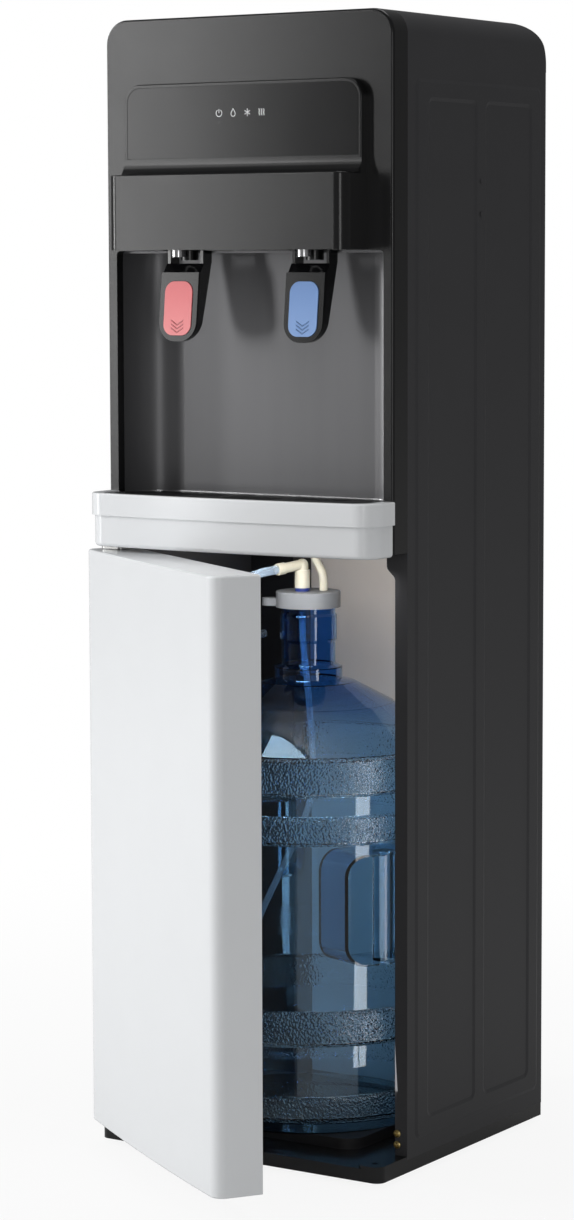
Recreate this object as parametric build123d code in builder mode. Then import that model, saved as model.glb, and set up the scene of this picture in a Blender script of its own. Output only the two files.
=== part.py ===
"""Bottom load water cooler: a steel cabinet with a bottle bay and a swung-open door below,
and a dispensing head with two paddle faucets, a drip tray and the cold and hot tanks above.

Frame: X to the viewer's right, Y to the back, Z up, millimetres. The origin is on the floor,
in the cabinet's plane of symmetry, under the middle of the whole depth with the door as stored.
Every Y below is counted from FACE_Y, the front plane of the upper bezel.
"""
import os
from math import cos, radians, sin

from build123d import *

os.makedirs("parts", exist_ok=True)

# ---------------------------------------------------------------- driving dimensions
WIDTH = 310.0                 # cabinet across its side panels
HEIGHT = 1050.0               # floor to the top of the cap
DEPTH = 275.0                 # front of the bezel to the back of the rear cover
FACE_Y = -55.0                # front plane of the bezel
SHEET = 1.0                   # steel sheet
WALL = 3.0                    # moulded plastic wall
GAP = 0.3                     # seating clearance between separate pieces
RUN = 0.05                    # radial running clearance of a pin in its hole

BASE_LOW = 6.0                # underside of the plinth
BASE_TOP = 18.0               # top of the plinth and foot of the steel shell
CAP_RISE = 45.0               # height of the moulded cap
SEAM_Z = HEIGHT - CAP_RISE    # top of the steel shell and foot of the cap
BEZEL_DEPTH = 24.0
BEZEL_LOW = 571.0
CROWN_R = 22.0                # top corners seen from the front
CAP_REAR_R = 38.0             # rear top edge seen from the side
SHELF_Z = 569.0               # underside of the shelf over the bottle bay

HALF = WIDTH / 2
SIDE_PROUD = 1.5              # the tray and the door stand this far out of the sides
FRAME_Y = FACE_Y + BEZEL_DEPTH     # front plane of the steel shell
REAR_Y = FACE_Y + DEPTH            # back plane of the rear cover
SHELL_REAR_Y = REAR_Y - SHEET      # back plane of the side panels' return flanges
INNER = HALF - SHEET               # inner face of a side panel


def front_plane(y):
    """Plane seen from the front at depth y; an extrusion from it comes towards the viewer."""
    return Plane.XZ.offset(-y)


def side_plane(x):
    """Plane seen from the right at x, with Y across and Z up; extrusions go to the right."""
    return Plane.YZ.offset(x)


def floor_plane(z):
    """Horizontal plane at height z; extrusions go up."""
    return Plane.XY.offset(z)


def block(x_span, y_span, z_span):
    """Plain rectangular block between pairs of limits."""
    with BuildPart() as body:
        with BuildSketch(floor_plane(z_span[0])):
            with Locations(((x_span[0] + x_span[1]) / 2, (y_span[0] + y_span[1]) / 2)):
                Rectangle(x_span[1] - x_span[0], y_span[1] - y_span[0])
        extrude(amount=z_span[1] - z_span[0])
    return body.part


def post(x, y, radius, z_span):
    """Upright cylinder at (x, y)."""
    with BuildPart() as body:
        with BuildSketch(floor_plane(z_span[0])):
            with Locations((x, y)):
                Circle(radius)
        extrude(amount=z_span[1] - z_span[0])
    return body.part


def cross_bar(y, z, radius, x_span):
    """Round bar lying across the cabinet."""
    with BuildPart() as body:
        with BuildSketch(side_plane(x_span[0])):
            with Locations((y, z)):
                Circle(radius)
        extrude(amount=x_span[1] - x_span[0])
    return body.part


# ---------------------------------------------------------------- steel side panels
FLANGE = 13.0                 # front flange beside the bay opening
UPPER_FLANGE = 6.0            # the same flange behind the bezel
THROAT = 21.6                 # flange where it widens under the bezel
THROAT_Z = 556.0              # foot of the wide part
THROAT_DROP = 8.0             # height of the slanting step below it
THROAT_R = 6.0
REAR_FLANGE = 12.0

EMBOSS = 1.0                  # raised pressing on the outer face
EMBOSS_BEVEL = 3.3
EMBOSS_R = 8.0
FRAME_SPAN = (37.5, 265.5)    # outer edge of the raised frame, from FACE_Y
FRAME_RISE = (33.5, 990.5)
FIELDS = ((57.6, 144.9), (159.6, 247.0))    # the two flat fields inside it
FIELD_RISE = (49.5, 974.5)

throat_top = BEZEL_LOW + WALL


def embossed_slab(y_span, z_span, inset_out, x_out, inset_in, x_in):
    """Rounded rectangle that tapers from one plane to another."""
    y_mid = FACE_Y + (y_span[0] + y_span[1]) / 2
    z_mid = (z_span[0] + z_span[1]) / 2
    with BuildPart() as slab:
        for x, inset in ((x_in, inset_in), (x_out, inset_out)):
            with BuildSketch(side_plane(x)):
                with Locations((y_mid, z_mid)):
                    RectangleRounded(
                        y_span[1] - y_span[0] - 2 * inset,
                        z_span[1] - z_span[0] - 2 * inset,
                        EMBOSS_R - inset,
                    )
        loft(ruled=True)
    return slab.part


with BuildPart() as right_side_panel:
    add(block((INNER, HALF), (FRAME_Y, SHELL_REAR_Y), (BASE_TOP, SEAM_Z)))
    # front flange, narrow behind the bezel and widened in a throat just under it
    with BuildSketch(front_plane(FRAME_Y + SHEET)) as flange_outline:
        with BuildLine():
            Polyline(
                (HALF, BASE_TOP),
                (HALF, SEAM_Z),
                (HALF - UPPER_FLANGE, SEAM_Z),
                (HALF - UPPER_FLANGE, throat_top),
                (HALF - THROAT, throat_top),
                (HALF - THROAT, THROAT_Z),
                (HALF - FLANGE, THROAT_Z - THROAT_DROP),
                (HALF - FLANGE, BASE_TOP),
                close=True,
            )
        make_face()
        step = flange_outline.vertices().filter_by_position(
            Axis.Y, THROAT_Z - THROAT_DROP - 1, THROAT_Z + 1
        )
        fillet(step, THROAT_R)
    extrude(amount=SHEET)
    add(block((HALF - REAR_FLANGE, HALF), (SHELL_REAR_Y - SHEET, SHELL_REAR_Y),
              (BASE_TOP, SEAM_Z)))
    # raised frame pressed into the side, with two flat fields
    add(embossed_slab(FRAME_SPAN, FRAME_RISE, EMBOSS_BEVEL, HALF + EMBOSS, 0, HALF))
    for field in FIELDS:
        add(
            embossed_slab(field, FIELD_RISE, 0, HALF + EMBOSS, EMBOSS_BEVEL, HALF),
            mode=Mode.SUBTRACT,
        )
right_side_panel.part.label = "right_side_panel"
export_step(right_side_panel.part, "parts/right_side_panel.step")

with BuildPart() as left_side_panel:
    mirror(right_side_panel.part, about=Plane.YZ)
left_side_panel.part.label = "left_side_panel"
export_step(left_side_panel.part, "parts/left_side_panel.step")

# blind rivets that hold the shelf posts inside each side
RIVET_Y = FACE_Y + 152.0
RIVET_HEIGHTS = (872.0, 902.0)
RIVET_R = 2.4
RIVET_RISE = 0.9

with BuildPart() as panel_rivets:
    for side in (-1, 1):
        for z in RIVET_HEIGHTS:
            face_x = side * (HALF + EMBOSS)
            reach = side * RIVET_RISE
            add(cross_bar(RIVET_Y, z, RIVET_R, sorted((face_x, face_x + reach))))
    chamfer(panel_rivets.edges().filter_by(GeomType.CIRCLE).group_by(SortBy.DISTANCE)[-1], 0.4)
panel_rivets.part.label = "panel_rivets"
export_step(panel_rivets.part, "parts/panel_rivets.step")

# ---------------------------------------------------------------- rear covers and shelf
COVER_MARGIN = 0.2            # rear cover stands in from the side faces
VENT_COLUMNS = 2
VENT_ROWS = 9
VENT_LENGTH = 90.0
VENT_WIDTH = 4.0
VENT_PITCH = 12.0
VENT_LOW = 905.0
SWITCH_Z = 852.0              # rocker switches on the back
SWITCH_PLACES = (92.0, 118.0)
SWITCH_BODY = (15.0, 21.6)    # through the cover, width and height
INLET_PLACE = (-112.0, 852.0)     # cord gland
GLAND_R = 7.0
DRAIN_PLACE = (100.0, 205.0)
DRAIN_R = 6.0
COIL_HALF = 124.0             # condenser tube from the middle to its bends
COIL_LOW = 264.0
COIL_PITCH = 48.0
COIL_ROWS = 12
COIL_R = 2.0
COIL_TOP = COIL_LOW + (COIL_ROWS - 1) * COIL_PITCH

with BuildPart() as rear_cover:
    add(block((-HALF + COVER_MARGIN, HALF - COVER_MARGIN), (SHELL_REAR_Y, REAR_Y),
              (BASE_TOP, SEAM_Z)))
    with BuildSketch(front_plane(REAR_Y + SHEET)):
        with Locations((0, VENT_LOW + (VENT_ROWS - 1) * VENT_PITCH / 2)):
            with GridLocations(VENT_LENGTH + VENT_PITCH, VENT_PITCH, VENT_COLUMNS, VENT_ROWS):
                SlotOverall(VENT_LENGTH, VENT_WIDTH)
        with Locations(*[(x, SWITCH_Z) for x in SWITCH_PLACES]):
            Rectangle(SWITCH_BODY[0] + 2 * GAP, SWITCH_BODY[1] + 2 * GAP)
        with Locations(INLET_PLACE):
            Circle(GLAND_R + GAP)
        with Locations(DRAIN_PLACE):
            Circle(DRAIN_R + GAP)
        with Locations((-COIL_HALF, COIL_LOW), (-COIL_HALF, COIL_TOP)):
            Circle(COIL_R + GAP)
    extrude(amount=3 * SHEET, mode=Mode.SUBTRACT)
rear_cover.part.label = "rear_cover"
export_step(rear_cover.part, "parts/rear_cover.step")

BAY_REAR_Y = FACE_Y + 268.0   # lining at the back of the bottle bay

with BuildPart() as bay_rear_panel:
    add(block((-INNER + GAP, INNER - GAP), (BAY_REAR_Y, BAY_REAR_Y + SHEET),
              (BASE_TOP, SHELF_Z - GAP)))
bay_rear_panel.part.label = "bay_rear_panel"
export_step(bay_rear_panel.part, "parts/bay_rear_panel.step")

# ---------------------------------------------------------------- bottle, hoses: places
BOTTLE_X = -11.0
BOTTLE_Y = FACE_Y + 118.0
VENT_HOSE_R = 4.0
VENT_TOP = (-12.0, FACE_Y + 126.0)    # where the vent hose passes the shelf
SHELF_TOP = SHELF_Z + SHEET

with BuildPart() as compartment_shelf:
    add(block((-INNER + GAP, INNER - GAP), (FRAME_Y + SHEET + GAP, SHELL_REAR_Y - SHEET - GAP),
              (SHELF_Z, SHELF_TOP)))
    add(post(*VENT_TOP, VENT_HOSE_R + GAP, (SHELF_Z, SHELF_TOP)), mode=Mode.SUBTRACT)
compartment_shelf.part.label = "compartment_shelf"
export_step(compartment_shelf.part, "parts/compartment_shelf.step")

# ---------------------------------------------------------------- plinth and feet
PLINTH_FRONT = FACE_Y - 23.3
PLINTH_R = 9.0
EAR = 26.4                    # width of each front ear
EAR_TOP = 21.0
PIVOT_INSET = 13.0            # door hinge axis, from the left side
PIVOT_X = PIVOT_INSET - HALF
PIVOT_Y = FACE_Y - 10.6
HINGE_PIN_R = 3.0
FOOT_R = 16.0
FOOT_INSET = 43.0             # feet, from the sides and from the back
FOOT_X = HALF - FOOT_INSET
FOOT_ROWS = (FACE_Y + 58.0, FACE_Y + 220.0)
STEM_R = 4.0
STEM_RISE = 7.0
BOSS_R = 12.0
feet_places = [(side * FOOT_X, y) for side in (-1, 1) for y in FOOT_ROWS]

with BuildPart() as base_plinth:
    with BuildSketch(floor_plane(BASE_LOW)) as plinth_outline:
        with Locations((0, (PLINTH_FRONT + SHELL_REAR_Y) / 2)):
            Rectangle(WIDTH, SHELL_REAR_Y - PLINTH_FRONT)
        fillet(plinth_outline.vertices().group_by(Axis.Y)[0], PLINTH_R)
    extrude(amount=EAR_TOP - BASE_LOW)
    # cut down to the floor of the bay, leaving an ear for the door at either side
    add(block((-HALF, HALF), (FRAME_Y, SHELL_REAR_Y), (BASE_TOP, EAR_TOP)), mode=Mode.SUBTRACT)
    add(block((EAR - HALF, HALF - EAR), (PLINTH_FRONT, FRAME_Y), (BASE_TOP, EAR_TOP)),
        mode=Mode.SUBTRACT)
    upper_edges = base_plinth.edges().filter_by(Axis.Z).filter_by_position(
        Axis.Z, BASE_TOP, EAR_TOP)
    fillet(upper_edges.group_by(Axis.Y)[0], PLINTH_R)
    # hollow underside with a boss over each foot
    with BuildSketch(floor_plane(BASE_LOW)):
        with Locations((0, (PLINTH_FRONT + SHELL_REAR_Y) / 2)):
            Rectangle(WIDTH - 6 * WALL, SHELL_REAR_Y - PLINTH_FRONT - 6 * WALL)
        with Locations(*feet_places):
            Circle(BOSS_R, mode=Mode.SUBTRACT)
    extrude(amount=BASE_TOP - BASE_LOW - WALL, mode=Mode.SUBTRACT)
    for x, y in feet_places:
        add(post(x, y, STEM_R + GAP / 2, (BASE_LOW, BASE_LOW + STEM_RISE + GAP)),
            mode=Mode.SUBTRACT)
    for side in (-1, 1):
        add(post(side * PIVOT_X, PIVOT_Y, HINGE_PIN_R + RUN, (BASE_TOP - WALL, EAR_TOP)),
            mode=Mode.SUBTRACT)
base_plinth.part.label = "base_plinth"
export_step(base_plinth.part, "parts/base_plinth.step")

with BuildPart() as levelling_feet:
    with BuildSketch(floor_plane(0)):
        with Locations(*feet_places):
            Circle(FOOT_R)
    extrude(amount=BASE_LOW)
    with BuildSketch(floor_plane(BASE_LOW)):
        with Locations(*feet_places):
            Circle(STEM_R)
    extrude(amount=STEM_RISE)
levelling_feet.part.label = "levelling_feet"
export_step(levelling_feet.part, "parts/levelling_feet.step")

STAND_X = 220.0               # raised stand that the bottle rests on
STAND_Y = 190.0
STAND_R = 20.0
BOTTLE_LOW = 28.0

with BuildPart() as bottle_stand:
    with BuildSketch(floor_plane(BASE_TOP)):
        with Locations((BOTTLE_X, BOTTLE_Y)):
            RectangleRounded(STAND_X, STAND_Y, STAND_R)
    extrude(amount=BOTTLE_LOW - BASE_TOP)
    with BuildSketch(floor_plane(BASE_TOP)):
        with Locations((BOTTLE_X, BOTTLE_Y)):
            RectangleRounded(STAND_X - 2 * WALL, STAND_Y - 2 * WALL, STAND_R - WALL)
            Rectangle(WALL, STAND_Y, mode=Mode.SUBTRACT)
            Rectangle(STAND_X, WALL, mode=Mode.SUBTRACT)
    extrude(amount=BOTTLE_LOW - BASE_TOP - WALL, mode=Mode.SUBTRACT)
bottle_stand.part.label = "bottle_stand"
export_step(bottle_stand.part, "parts/bottle_stand.step")

# ---------------------------------------------------------------- cap
def crown(y_front, y_back, z_low, inset, radius):
    """Block with rounded top corners, seen from the front, standing in from the outline."""
    z_top = HEIGHT - inset
    with BuildPart() as body:
        with BuildSketch(front_plane(y_back)) as outline:
            with Locations((0, (z_low + z_top) / 2)):
                Rectangle(WIDTH - 2 * inset, z_top - z_low)
            fillet(outline.vertices().group_by(Axis.Y)[-1], radius - inset)
        extrude(amount=y_back - y_front)
    return body.part


def cap_body(inset, z_low):
    """The crown with its rear top edge rounded off, seen from the side."""
    y_back = REAR_Y - inset
    z_top = HEIGHT - inset
    with BuildPart() as body:
        add(crown(FRAME_Y, y_back, z_low, inset, CROWN_R))
        with BuildSketch(side_plane(-HALF)) as profile:
            with Locations(((FRAME_Y + y_back) / 2, (z_low + z_top) / 2)):
                Rectangle(y_back - FRAME_Y, z_top - z_low)
            rear_top = profile.vertices().group_by(Axis.Y)[-1].sort_by(Axis.X)[-1]
            fillet(rear_top, CAP_REAR_R - inset)
        extrude(amount=WIDTH, mode=Mode.INTERSECT)
    return body.part


with BuildPart() as top_cover:
    add(cap_body(0, SEAM_Z))
    add(cap_body(WALL, SEAM_Z - WALL), mode=Mode.SUBTRACT)
top_cover.part.label = "top_cover"
export_step(top_cover.part, "parts/top_cover.step")

# ---------------------------------------------------------------- bezel
BEZEL_EDGE_R = 2.5
NICHE_FRAME = 10.3            # width of the bezel beside the niche
NICHE_HALF = HALF - NICHE_FRAME
NICHE_TOP = 839.6
NICHE_FLOOR = 586.0
NICHE_CORNER_R = 4.0
RETURN_DEPTH = 10.0           # the opening's edge runs this far in
LINER_R = 40.0                # upright inner corners of the niche
LINER_CEILING = 837.4
LINER_WALL = 2.0
LINER_FRONT_Y = FACE_Y + RETURN_DEPTH
LINER_BACK_Y = LINER_FRONT_Y + LINER_R

HOUSING_INSET = 26.9          # spout housing and fascia, from the sides
HOUSING_HALF = HALF - HOUSING_INSET
HOUSING_PROUD = 38.5
HOUSING_LOW = 840.3
HOUSING_TOP = 908.0
HOUSING_R = 11.0
FASCIA_HALF = HOUSING_HALF
FASCIA_PROUD = 9.5
FASCIA_TOP = 990.4
FASCIA_R = 17.0
FAUCET_X = 68.0               # each faucet and paddle from the middle
PADDLE_WINDOW = 48.0          # window behind the housing for a faucet and its paddle
WINDOW_TOP = 896.0
WIRE_WINDOW = (60.0, 940.0, 968.0)    # half width, low and top of the board's window


def niche_outline(half, y_front, y_back, radius):
    """Plan of the niche: straight sides and round rear corners, as a sketch."""
    with BuildSketch(Plane.XY) as plan:
        with Locations((0, (y_front + y_back) / 2)):
            Rectangle(2 * half, y_back - y_front)
        fillet(plan.vertices().group_by(Axis.Y)[-1], radius)
    return plan.sketch


with BuildPart() as front_bezel:
    add(crown(FACE_Y, FRAME_Y, BEZEL_LOW, 0, CROWN_R))
    fillet(front_bezel.faces().sort_by(Axis.Y)[0].outer_wire().edges(), BEZEL_EDGE_R)
    add(crown(FACE_Y + WALL, FRAME_Y, BEZEL_LOW + WALL, WALL, CROWN_R), mode=Mode.SUBTRACT)
    # inward edge of the niche opening, then the opening itself
    add(block((-NICHE_HALF - WALL, NICHE_HALF + WALL), (FACE_Y, LINER_FRONT_Y - GAP),
              (NICHE_FLOOR - WALL, NICHE_TOP + WALL)))
    with BuildSketch(front_plane(LINER_FRONT_Y)):
        with Locations((0, (NICHE_TOP + NICHE_FLOOR) / 2)):
            RectangleRounded(2 * NICHE_HALF, NICHE_TOP - NICHE_FLOOR, NICHE_CORNER_R)
    extrude(amount=2 * RETURN_DEPTH, mode=Mode.SUBTRACT)
    # windows hidden by the housing and the fascia
    with BuildSketch(front_plane(LINER_FRONT_Y)):
        for side in (-1, 1):
            with Locations((side * FAUCET_X, (NICHE_TOP + WINDOW_TOP) / 2)):
                Rectangle(PADDLE_WINDOW, WINDOW_TOP - NICHE_TOP + 2 * NICHE_CORNER_R)
        with Locations((0, (WIRE_WINDOW[1] + WIRE_WINDOW[2]) / 2)):
            Rectangle(2 * WIRE_WINDOW[0], WIRE_WINDOW[2] - WIRE_WINDOW[1])
    extrude(amount=2 * RETURN_DEPTH, mode=Mode.SUBTRACT)
front_bezel.part.label = "front_bezel"
export_step(front_bezel.part, "parts/front_bezel.step")

with BuildPart() as niche_liner:
    with BuildSketch(floor_plane(NICHE_FLOOR - LINER_WALL)):
        add(niche_outline(NICHE_HALF + LINER_WALL, LINER_FRONT_Y, LINER_BACK_Y + LINER_WALL,
                          LINER_R + LINER_WALL))
    extrude(amount=LINER_CEILING - NICHE_FLOOR + 2 * LINER_WALL)
    with BuildSketch(floor_plane(NICHE_FLOOR)):
        add(niche_outline(NICHE_HALF, LINER_FRONT_Y - LINER_WALL, LINER_BACK_Y, LINER_R))
    extrude(amount=LINER_CEILING - NICHE_FLOOR, mode=Mode.SUBTRACT)
    for side in (-1, 1):
        x = side * FAUCET_X
        add(block((x - PADDLE_WINDOW / 2, x + PADDLE_WINDOW / 2),
                  (LINER_FRONT_Y - WALL, LINER_FRONT_Y + 2 * RETURN_DEPTH),
                  (LINER_CEILING, LINER_CEILING + LINER_WALL)), mode=Mode.SUBTRACT)
niche_liner.part.label = "niche_liner"
export_step(niche_liner.part, "parts/niche_liner.step")

# ---------------------------------------------------------------- housing and fascia
HOUSING_WALL = 2.5
LIP_R = 12.5                  # hollow sweep from the fascia out over the housing
LIP_Y = FACE_Y - FASCIA_PROUD - LIP_R
HOUSING_EDGE_R = 1.5
PANEL_MARGIN = 3.3            # rim left around the control panel
PANEL_LOW = 922.6
PANEL_R = 14.0
PANEL_GROOVE = 0.5
PANEL_THICK = 2.6
BACKING_INSET = 6.0           # ledge behind the panel
LED_Z = 954.2
LED_PITCH = 15.3
LED_R = 1.5
LED_COUNT = 4
BOARD_Y = FACE_Y - 4.5
BOARD_THICK = 1.6
BOARD_SIZE = (116.0, 24.0)

panel_front_y = FACE_Y - FASCIA_PROUD
panel_top = FASCIA_TOP - PANEL_MARGIN
panel_half = FASCIA_HALF - PANEL_MARGIN
led_places = [((i - (LED_COUNT - 1) / 2) * LED_PITCH, LED_Z) for i in range(LED_COUNT)]


def arched_plate(half, z_low, z_top, radius, y_back, thick):
    """Upright plate with two round top corners, its back at y_back."""
    with BuildPart() as plate:
        with BuildSketch(front_plane(y_back)) as outline:
            with Locations((0, (z_low + z_top) / 2)):
                Rectangle(2 * half, z_top - z_low)
            fillet(outline.vertices().group_by(Axis.Y)[-1], radius)
        extrude(amount=thick)
    return plate.part


def housing_block(inset, y_front, z_low, z_top, radius):
    """Upright block against the bezel with round front corners."""
    half = HOUSING_HALF - inset
    with BuildPart() as body:
        with BuildSketch(floor_plane(z_low)) as plan:
            with Locations((0, (y_front + FACE_Y) / 2)):
                Rectangle(2 * half, FACE_Y - y_front)
            fillet(plan.vertices().group_by(Axis.Y)[0], radius)
        extrude(amount=z_top - z_low)
    return body.part


with BuildPart() as lip:
    with BuildSketch(side_plane(-HOUSING_HALF)):
        with BuildLine():
            top = (FACE_Y - FASCIA_PROUD, HOUSING_TOP + LIP_R)
            middle = (LIP_Y + LIP_R * sin(radians(45)),
                      HOUSING_TOP + LIP_R - LIP_R * cos(radians(45)))
            bottom = (LIP_Y, HOUSING_TOP)
            ThreePointArc(top, middle, bottom)
            Polyline(bottom, (LIP_Y, HOUSING_TOP - WALL), (FACE_Y, HOUSING_TOP - WALL),
                     (FACE_Y, HOUSING_TOP + LIP_R), top)
        make_face()
    extrude(amount=2 * HOUSING_HALF)
    add(housing_block(0, LIP_Y, HOUSING_TOP - WALL, HOUSING_TOP + LIP_R, HOUSING_R),
        mode=Mode.INTERSECT)

with BuildPart() as spout_housing:
    add(housing_block(0, FACE_Y - HOUSING_PROUD, HOUSING_LOW, HOUSING_TOP, HOUSING_R))
    fillet(spout_housing.faces().sort_by(Axis.Z)[-1].edges().filter_by(
        lambda edge: edge.center().Y < FACE_Y - 1), HOUSING_EDGE_R)
    add(arched_plate(FASCIA_HALF, HOUSING_TOP - WALL, FASCIA_TOP, FASCIA_R, FACE_Y,
                     FASCIA_PROUD))
    fillet(spout_housing.faces().filter_by(Axis.Y).sort_by(SortBy.AREA).filter_by_position(
        Axis.Y, panel_front_y - 1, panel_front_y + 1)[-1].edges().filter_by(
        lambda edge: edge.center().Z > HOUSING_TOP + LIP_R), HOUSING_EDGE_R)
    add(lip.part)
    # pocket for the control panel, and the hollow behind it
    add(arched_plate(panel_half, PANEL_LOW, panel_top, PANEL_R, panel_front_y + WALL, 2 * WALL),
        mode=Mode.SUBTRACT)
    add(arched_plate(panel_half - BACKING_INSET, PANEL_LOW + BACKING_INSET,
                     panel_top - BACKING_INSET, PANEL_R - BACKING_INSET,
                     FACE_Y, FASCIA_PROUD), mode=Mode.SUBTRACT)
    # hollow of the housing, open at the back, and the openings in its floor
    add(housing_block(HOUSING_WALL, FACE_Y - HOUSING_PROUD + HOUSING_WALL,
                      HOUSING_LOW + HOUSING_WALL, HOUSING_TOP - HOUSING_WALL,
                      HOUSING_R - HOUSING_WALL), mode=Mode.SUBTRACT)
    for side in (-1, 1):
        x = side * FAUCET_X
        add(block((x - PADDLE_WINDOW / 2, x + PADDLE_WINDOW / 2),
                  (FACE_Y - 2 * RETURN_DEPTH, FACE_Y),
                  (HOUSING_LOW, HOUSING_LOW + HOUSING_WALL)), mode=Mode.SUBTRACT)
spout_housing.part.label = "spout_housing"
export_step(spout_housing.part, "parts/spout_housing.step")

with BuildPart() as control_panel:
    add(arched_plate(panel_half - PANEL_GROOVE, PANEL_LOW + PANEL_GROOVE,
                     panel_top - PANEL_GROOVE, PANEL_R - PANEL_GROOVE,
                     panel_front_y + PANEL_THICK, PANEL_THICK))
    with BuildSketch(front_plane(FACE_Y)):
        with Locations(*led_places):
            Circle(LED_R + PANEL_GROOVE / 5)
    extrude(amount=2 * FASCIA_PROUD, mode=Mode.SUBTRACT)
control_panel.part.label = "control_panel"
export_step(control_panel.part, "parts/control_panel.step")

with BuildPart() as indicator_lenses:
    with BuildSketch(front_plane(BOARD_Y)):
        with Locations(*led_places):
            Circle(LED_R)
    extrude(amount=BOARD_Y - panel_front_y - PANEL_GROOVE / 5)
indicator_lenses.part.label = "indicator_lenses"
export_step(indicator_lenses.part, "parts/indicator_lenses.step")

with BuildPart() as control_board:
    add(block((-BOARD_SIZE[0] / 2, BOARD_SIZE[0] / 2), (BOARD_Y, BOARD_Y + BOARD_THICK),
              (LED_Z - BOARD_SIZE[1] / 2, LED_Z + BOARD_SIZE[1] / 2)))
control_board.part.label = "control_board"
export_step(control_board.part, "parts/control_board.step")

# ---------------------------------------------------------------- faucets
VALVE_Y = FACE_Y + 8.0        # axis of the valve body and of the paddle's pivot
VALVE_R = 8.0
VALVE_LOW = 831.0
VALVE_TOP = 880.0
SPOUT_Y = FACE_Y - 10.0
SPOUT_R = 5.2
SPOUT_LOW = 836.0
SLEEVE_R = 6.5
SLEEVE_LOW = 834.0
SLEEVE_TOP = 848.0
BRIDGE_LOW = 850.0
BRIDGE_TOP = 864.0
BRIDGE_HALF = 6.0
PIVOT_Z = 856.0
PIVOT_R = 2.0
INLET_R = 5.0
INLET_BORE_R = 3.0
INLET_Z = 870.0
INLET_END_Y = FACE_Y + 58.0
MOUNT_HALF = 32.0             # fixing flange of a faucet on the back of the bezel
MOUNT_LOW = 868.0
MOUNT_TOP = 890.0
MOUNT_Y = FACE_Y + WALL + GAP
SCREW_R = 1.8
SCREW_HEAD_R = 3.4
SCREW_HEAD = 2.4
SCREW_X = 28.0

screw_z = (MOUNT_LOW + MOUNT_TOP) / 2


def faucet(x):
    """Valve body with its spout, inlet and fixing flange."""
    with BuildPart() as body:
        add(post(x, VALVE_Y, VALVE_R, (VALVE_LOW, VALVE_TOP)))
        add(block((x - BRIDGE_HALF, x + BRIDGE_HALF), (SPOUT_Y, VALVE_Y),
                  (BRIDGE_LOW, BRIDGE_TOP)))
        add(post(x, SPOUT_Y, SPOUT_R, (SPOUT_LOW, BRIDGE_TOP)))
        add(block((x - MOUNT_HALF, x + MOUNT_HALF), (MOUNT_Y, MOUNT_Y + WALL),
                  (MOUNT_LOW, MOUNT_TOP)))
        with BuildSketch(front_plane(INLET_END_Y)):
            with Locations((x, INLET_Z)):
                Circle(INLET_R)
        extrude(amount=INLET_END_Y - VALVE_Y)
        with BuildSketch(front_plane(INLET_END_Y)):
            with Locations((x, INLET_Z)):
                Circle(INLET_BORE_R)
        extrude(amount=INLET_END_Y - VALVE_Y, mode=Mode.SUBTRACT)
        with BuildSketch(front_plane(MOUNT_Y + WALL)):
            with Locations((x - SCREW_X, screw_z), (x + SCREW_X, screw_z)):
                Circle(SCREW_R + RUN)
        extrude(amount=WALL, mode=Mode.SUBTRACT)
        add(cross_bar(VALVE_Y, PIVOT_Z, PIVOT_R + RUN, (x - VALVE_R, x + VALVE_R)),
            mode=Mode.SUBTRACT)
        add(post(x, SPOUT_Y, SPOUT_R - LINER_WALL, (SPOUT_LOW, BRIDGE_LOW)),
            mode=Mode.SUBTRACT)
    return body.part


with BuildPart() as hot_faucet:
    add(faucet(-FAUCET_X))
hot_faucet.part.label = "hot_faucet"
export_step(hot_faucet.part, "parts/hot_faucet.step")

with BuildPart() as cold_faucet:
    add(faucet(FAUCET_X))
cold_faucet.part.label = "cold_faucet"
export_step(cold_faucet.part, "parts/cold_faucet.step")

with BuildPart() as nozzle_sleeves:
    with BuildSketch(floor_plane(SLEEVE_LOW)):
        with Locations((-FAUCET_X, SPOUT_Y), (FAUCET_X, SPOUT_Y)):
            Circle(SLEEVE_R)
            Circle(SPOUT_R + RUN, mode=Mode.SUBTRACT)
    extrude(amount=SLEEVE_TOP - SLEEVE_LOW)
nozzle_sleeves.part.label = "nozzle_sleeves"
export_step(nozzle_sleeves.part, "parts/nozzle_sleeves.step")

with BuildPart() as faucet_screws:
    screw_places = [(side * FAUCET_X + end * SCREW_X, screw_z)
                    for side in (-1, 1) for end in (-1, 1)]
    with BuildSketch(front_plane(MOUNT_Y + WALL + SCREW_HEAD)):
        with Locations(*screw_places):
            Circle(SCREW_HEAD_R)
    extrude(amount=SCREW_HEAD)
    with BuildSketch(front_plane(MOUNT_Y + WALL)):
        with Locations(*screw_places):
            Circle(SCREW_R)
    extrude(amount=WALL + GAP)
faucet_screws.part.label = "faucet_screws"
export_step(faucet_screws.part, "parts/faucet_screws.step")

# ---------------------------------------------------------------- paddles
PADDLE_HALF = 20.5
PADDLE_LOW = 757.5
COVER_TOP = 820.0
FACE_TOP_Y = FACE_Y - 7.5     # front of the cover at its top
FACE_LEAN = 6.5               # how much further forward its foot stands
COVER_THICK = 3.0
PADDLE_BOTTOM_R = 18.0
CORE_TOP = 828.0
CORE_SLOPE_Y = FACE_Y + 1.0   # front of the core at its top
EAR_FRONT_Y = FACE_Y + 1.0
EAR_INNER = 16.5
EAR_THICK = 3.0
PAD_HALF = 15.0
PAD_TOP = 812.0
PAD_LOW = 763.0
PAD_R = 10.0
PAD_PROUD = 0.9
PAD_DEPTH = 1.8               # how deep the pad sits in the cover
ARM_BACK_TOP = (FACE_Y + 15.0, 836.0)
ARM_BACK_MIDDLE = (FACE_Y + 4.0, 795.0)
ARM_BACK_LOW = (FACE_Y - 7.3, PADDLE_LOW - 1.0)     # under the foot, which is cut round

face_low_y = FACE_TOP_Y - FACE_LEAN
lean_slope = FACE_LEAN / (COVER_TOP - PADDLE_LOW)


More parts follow.
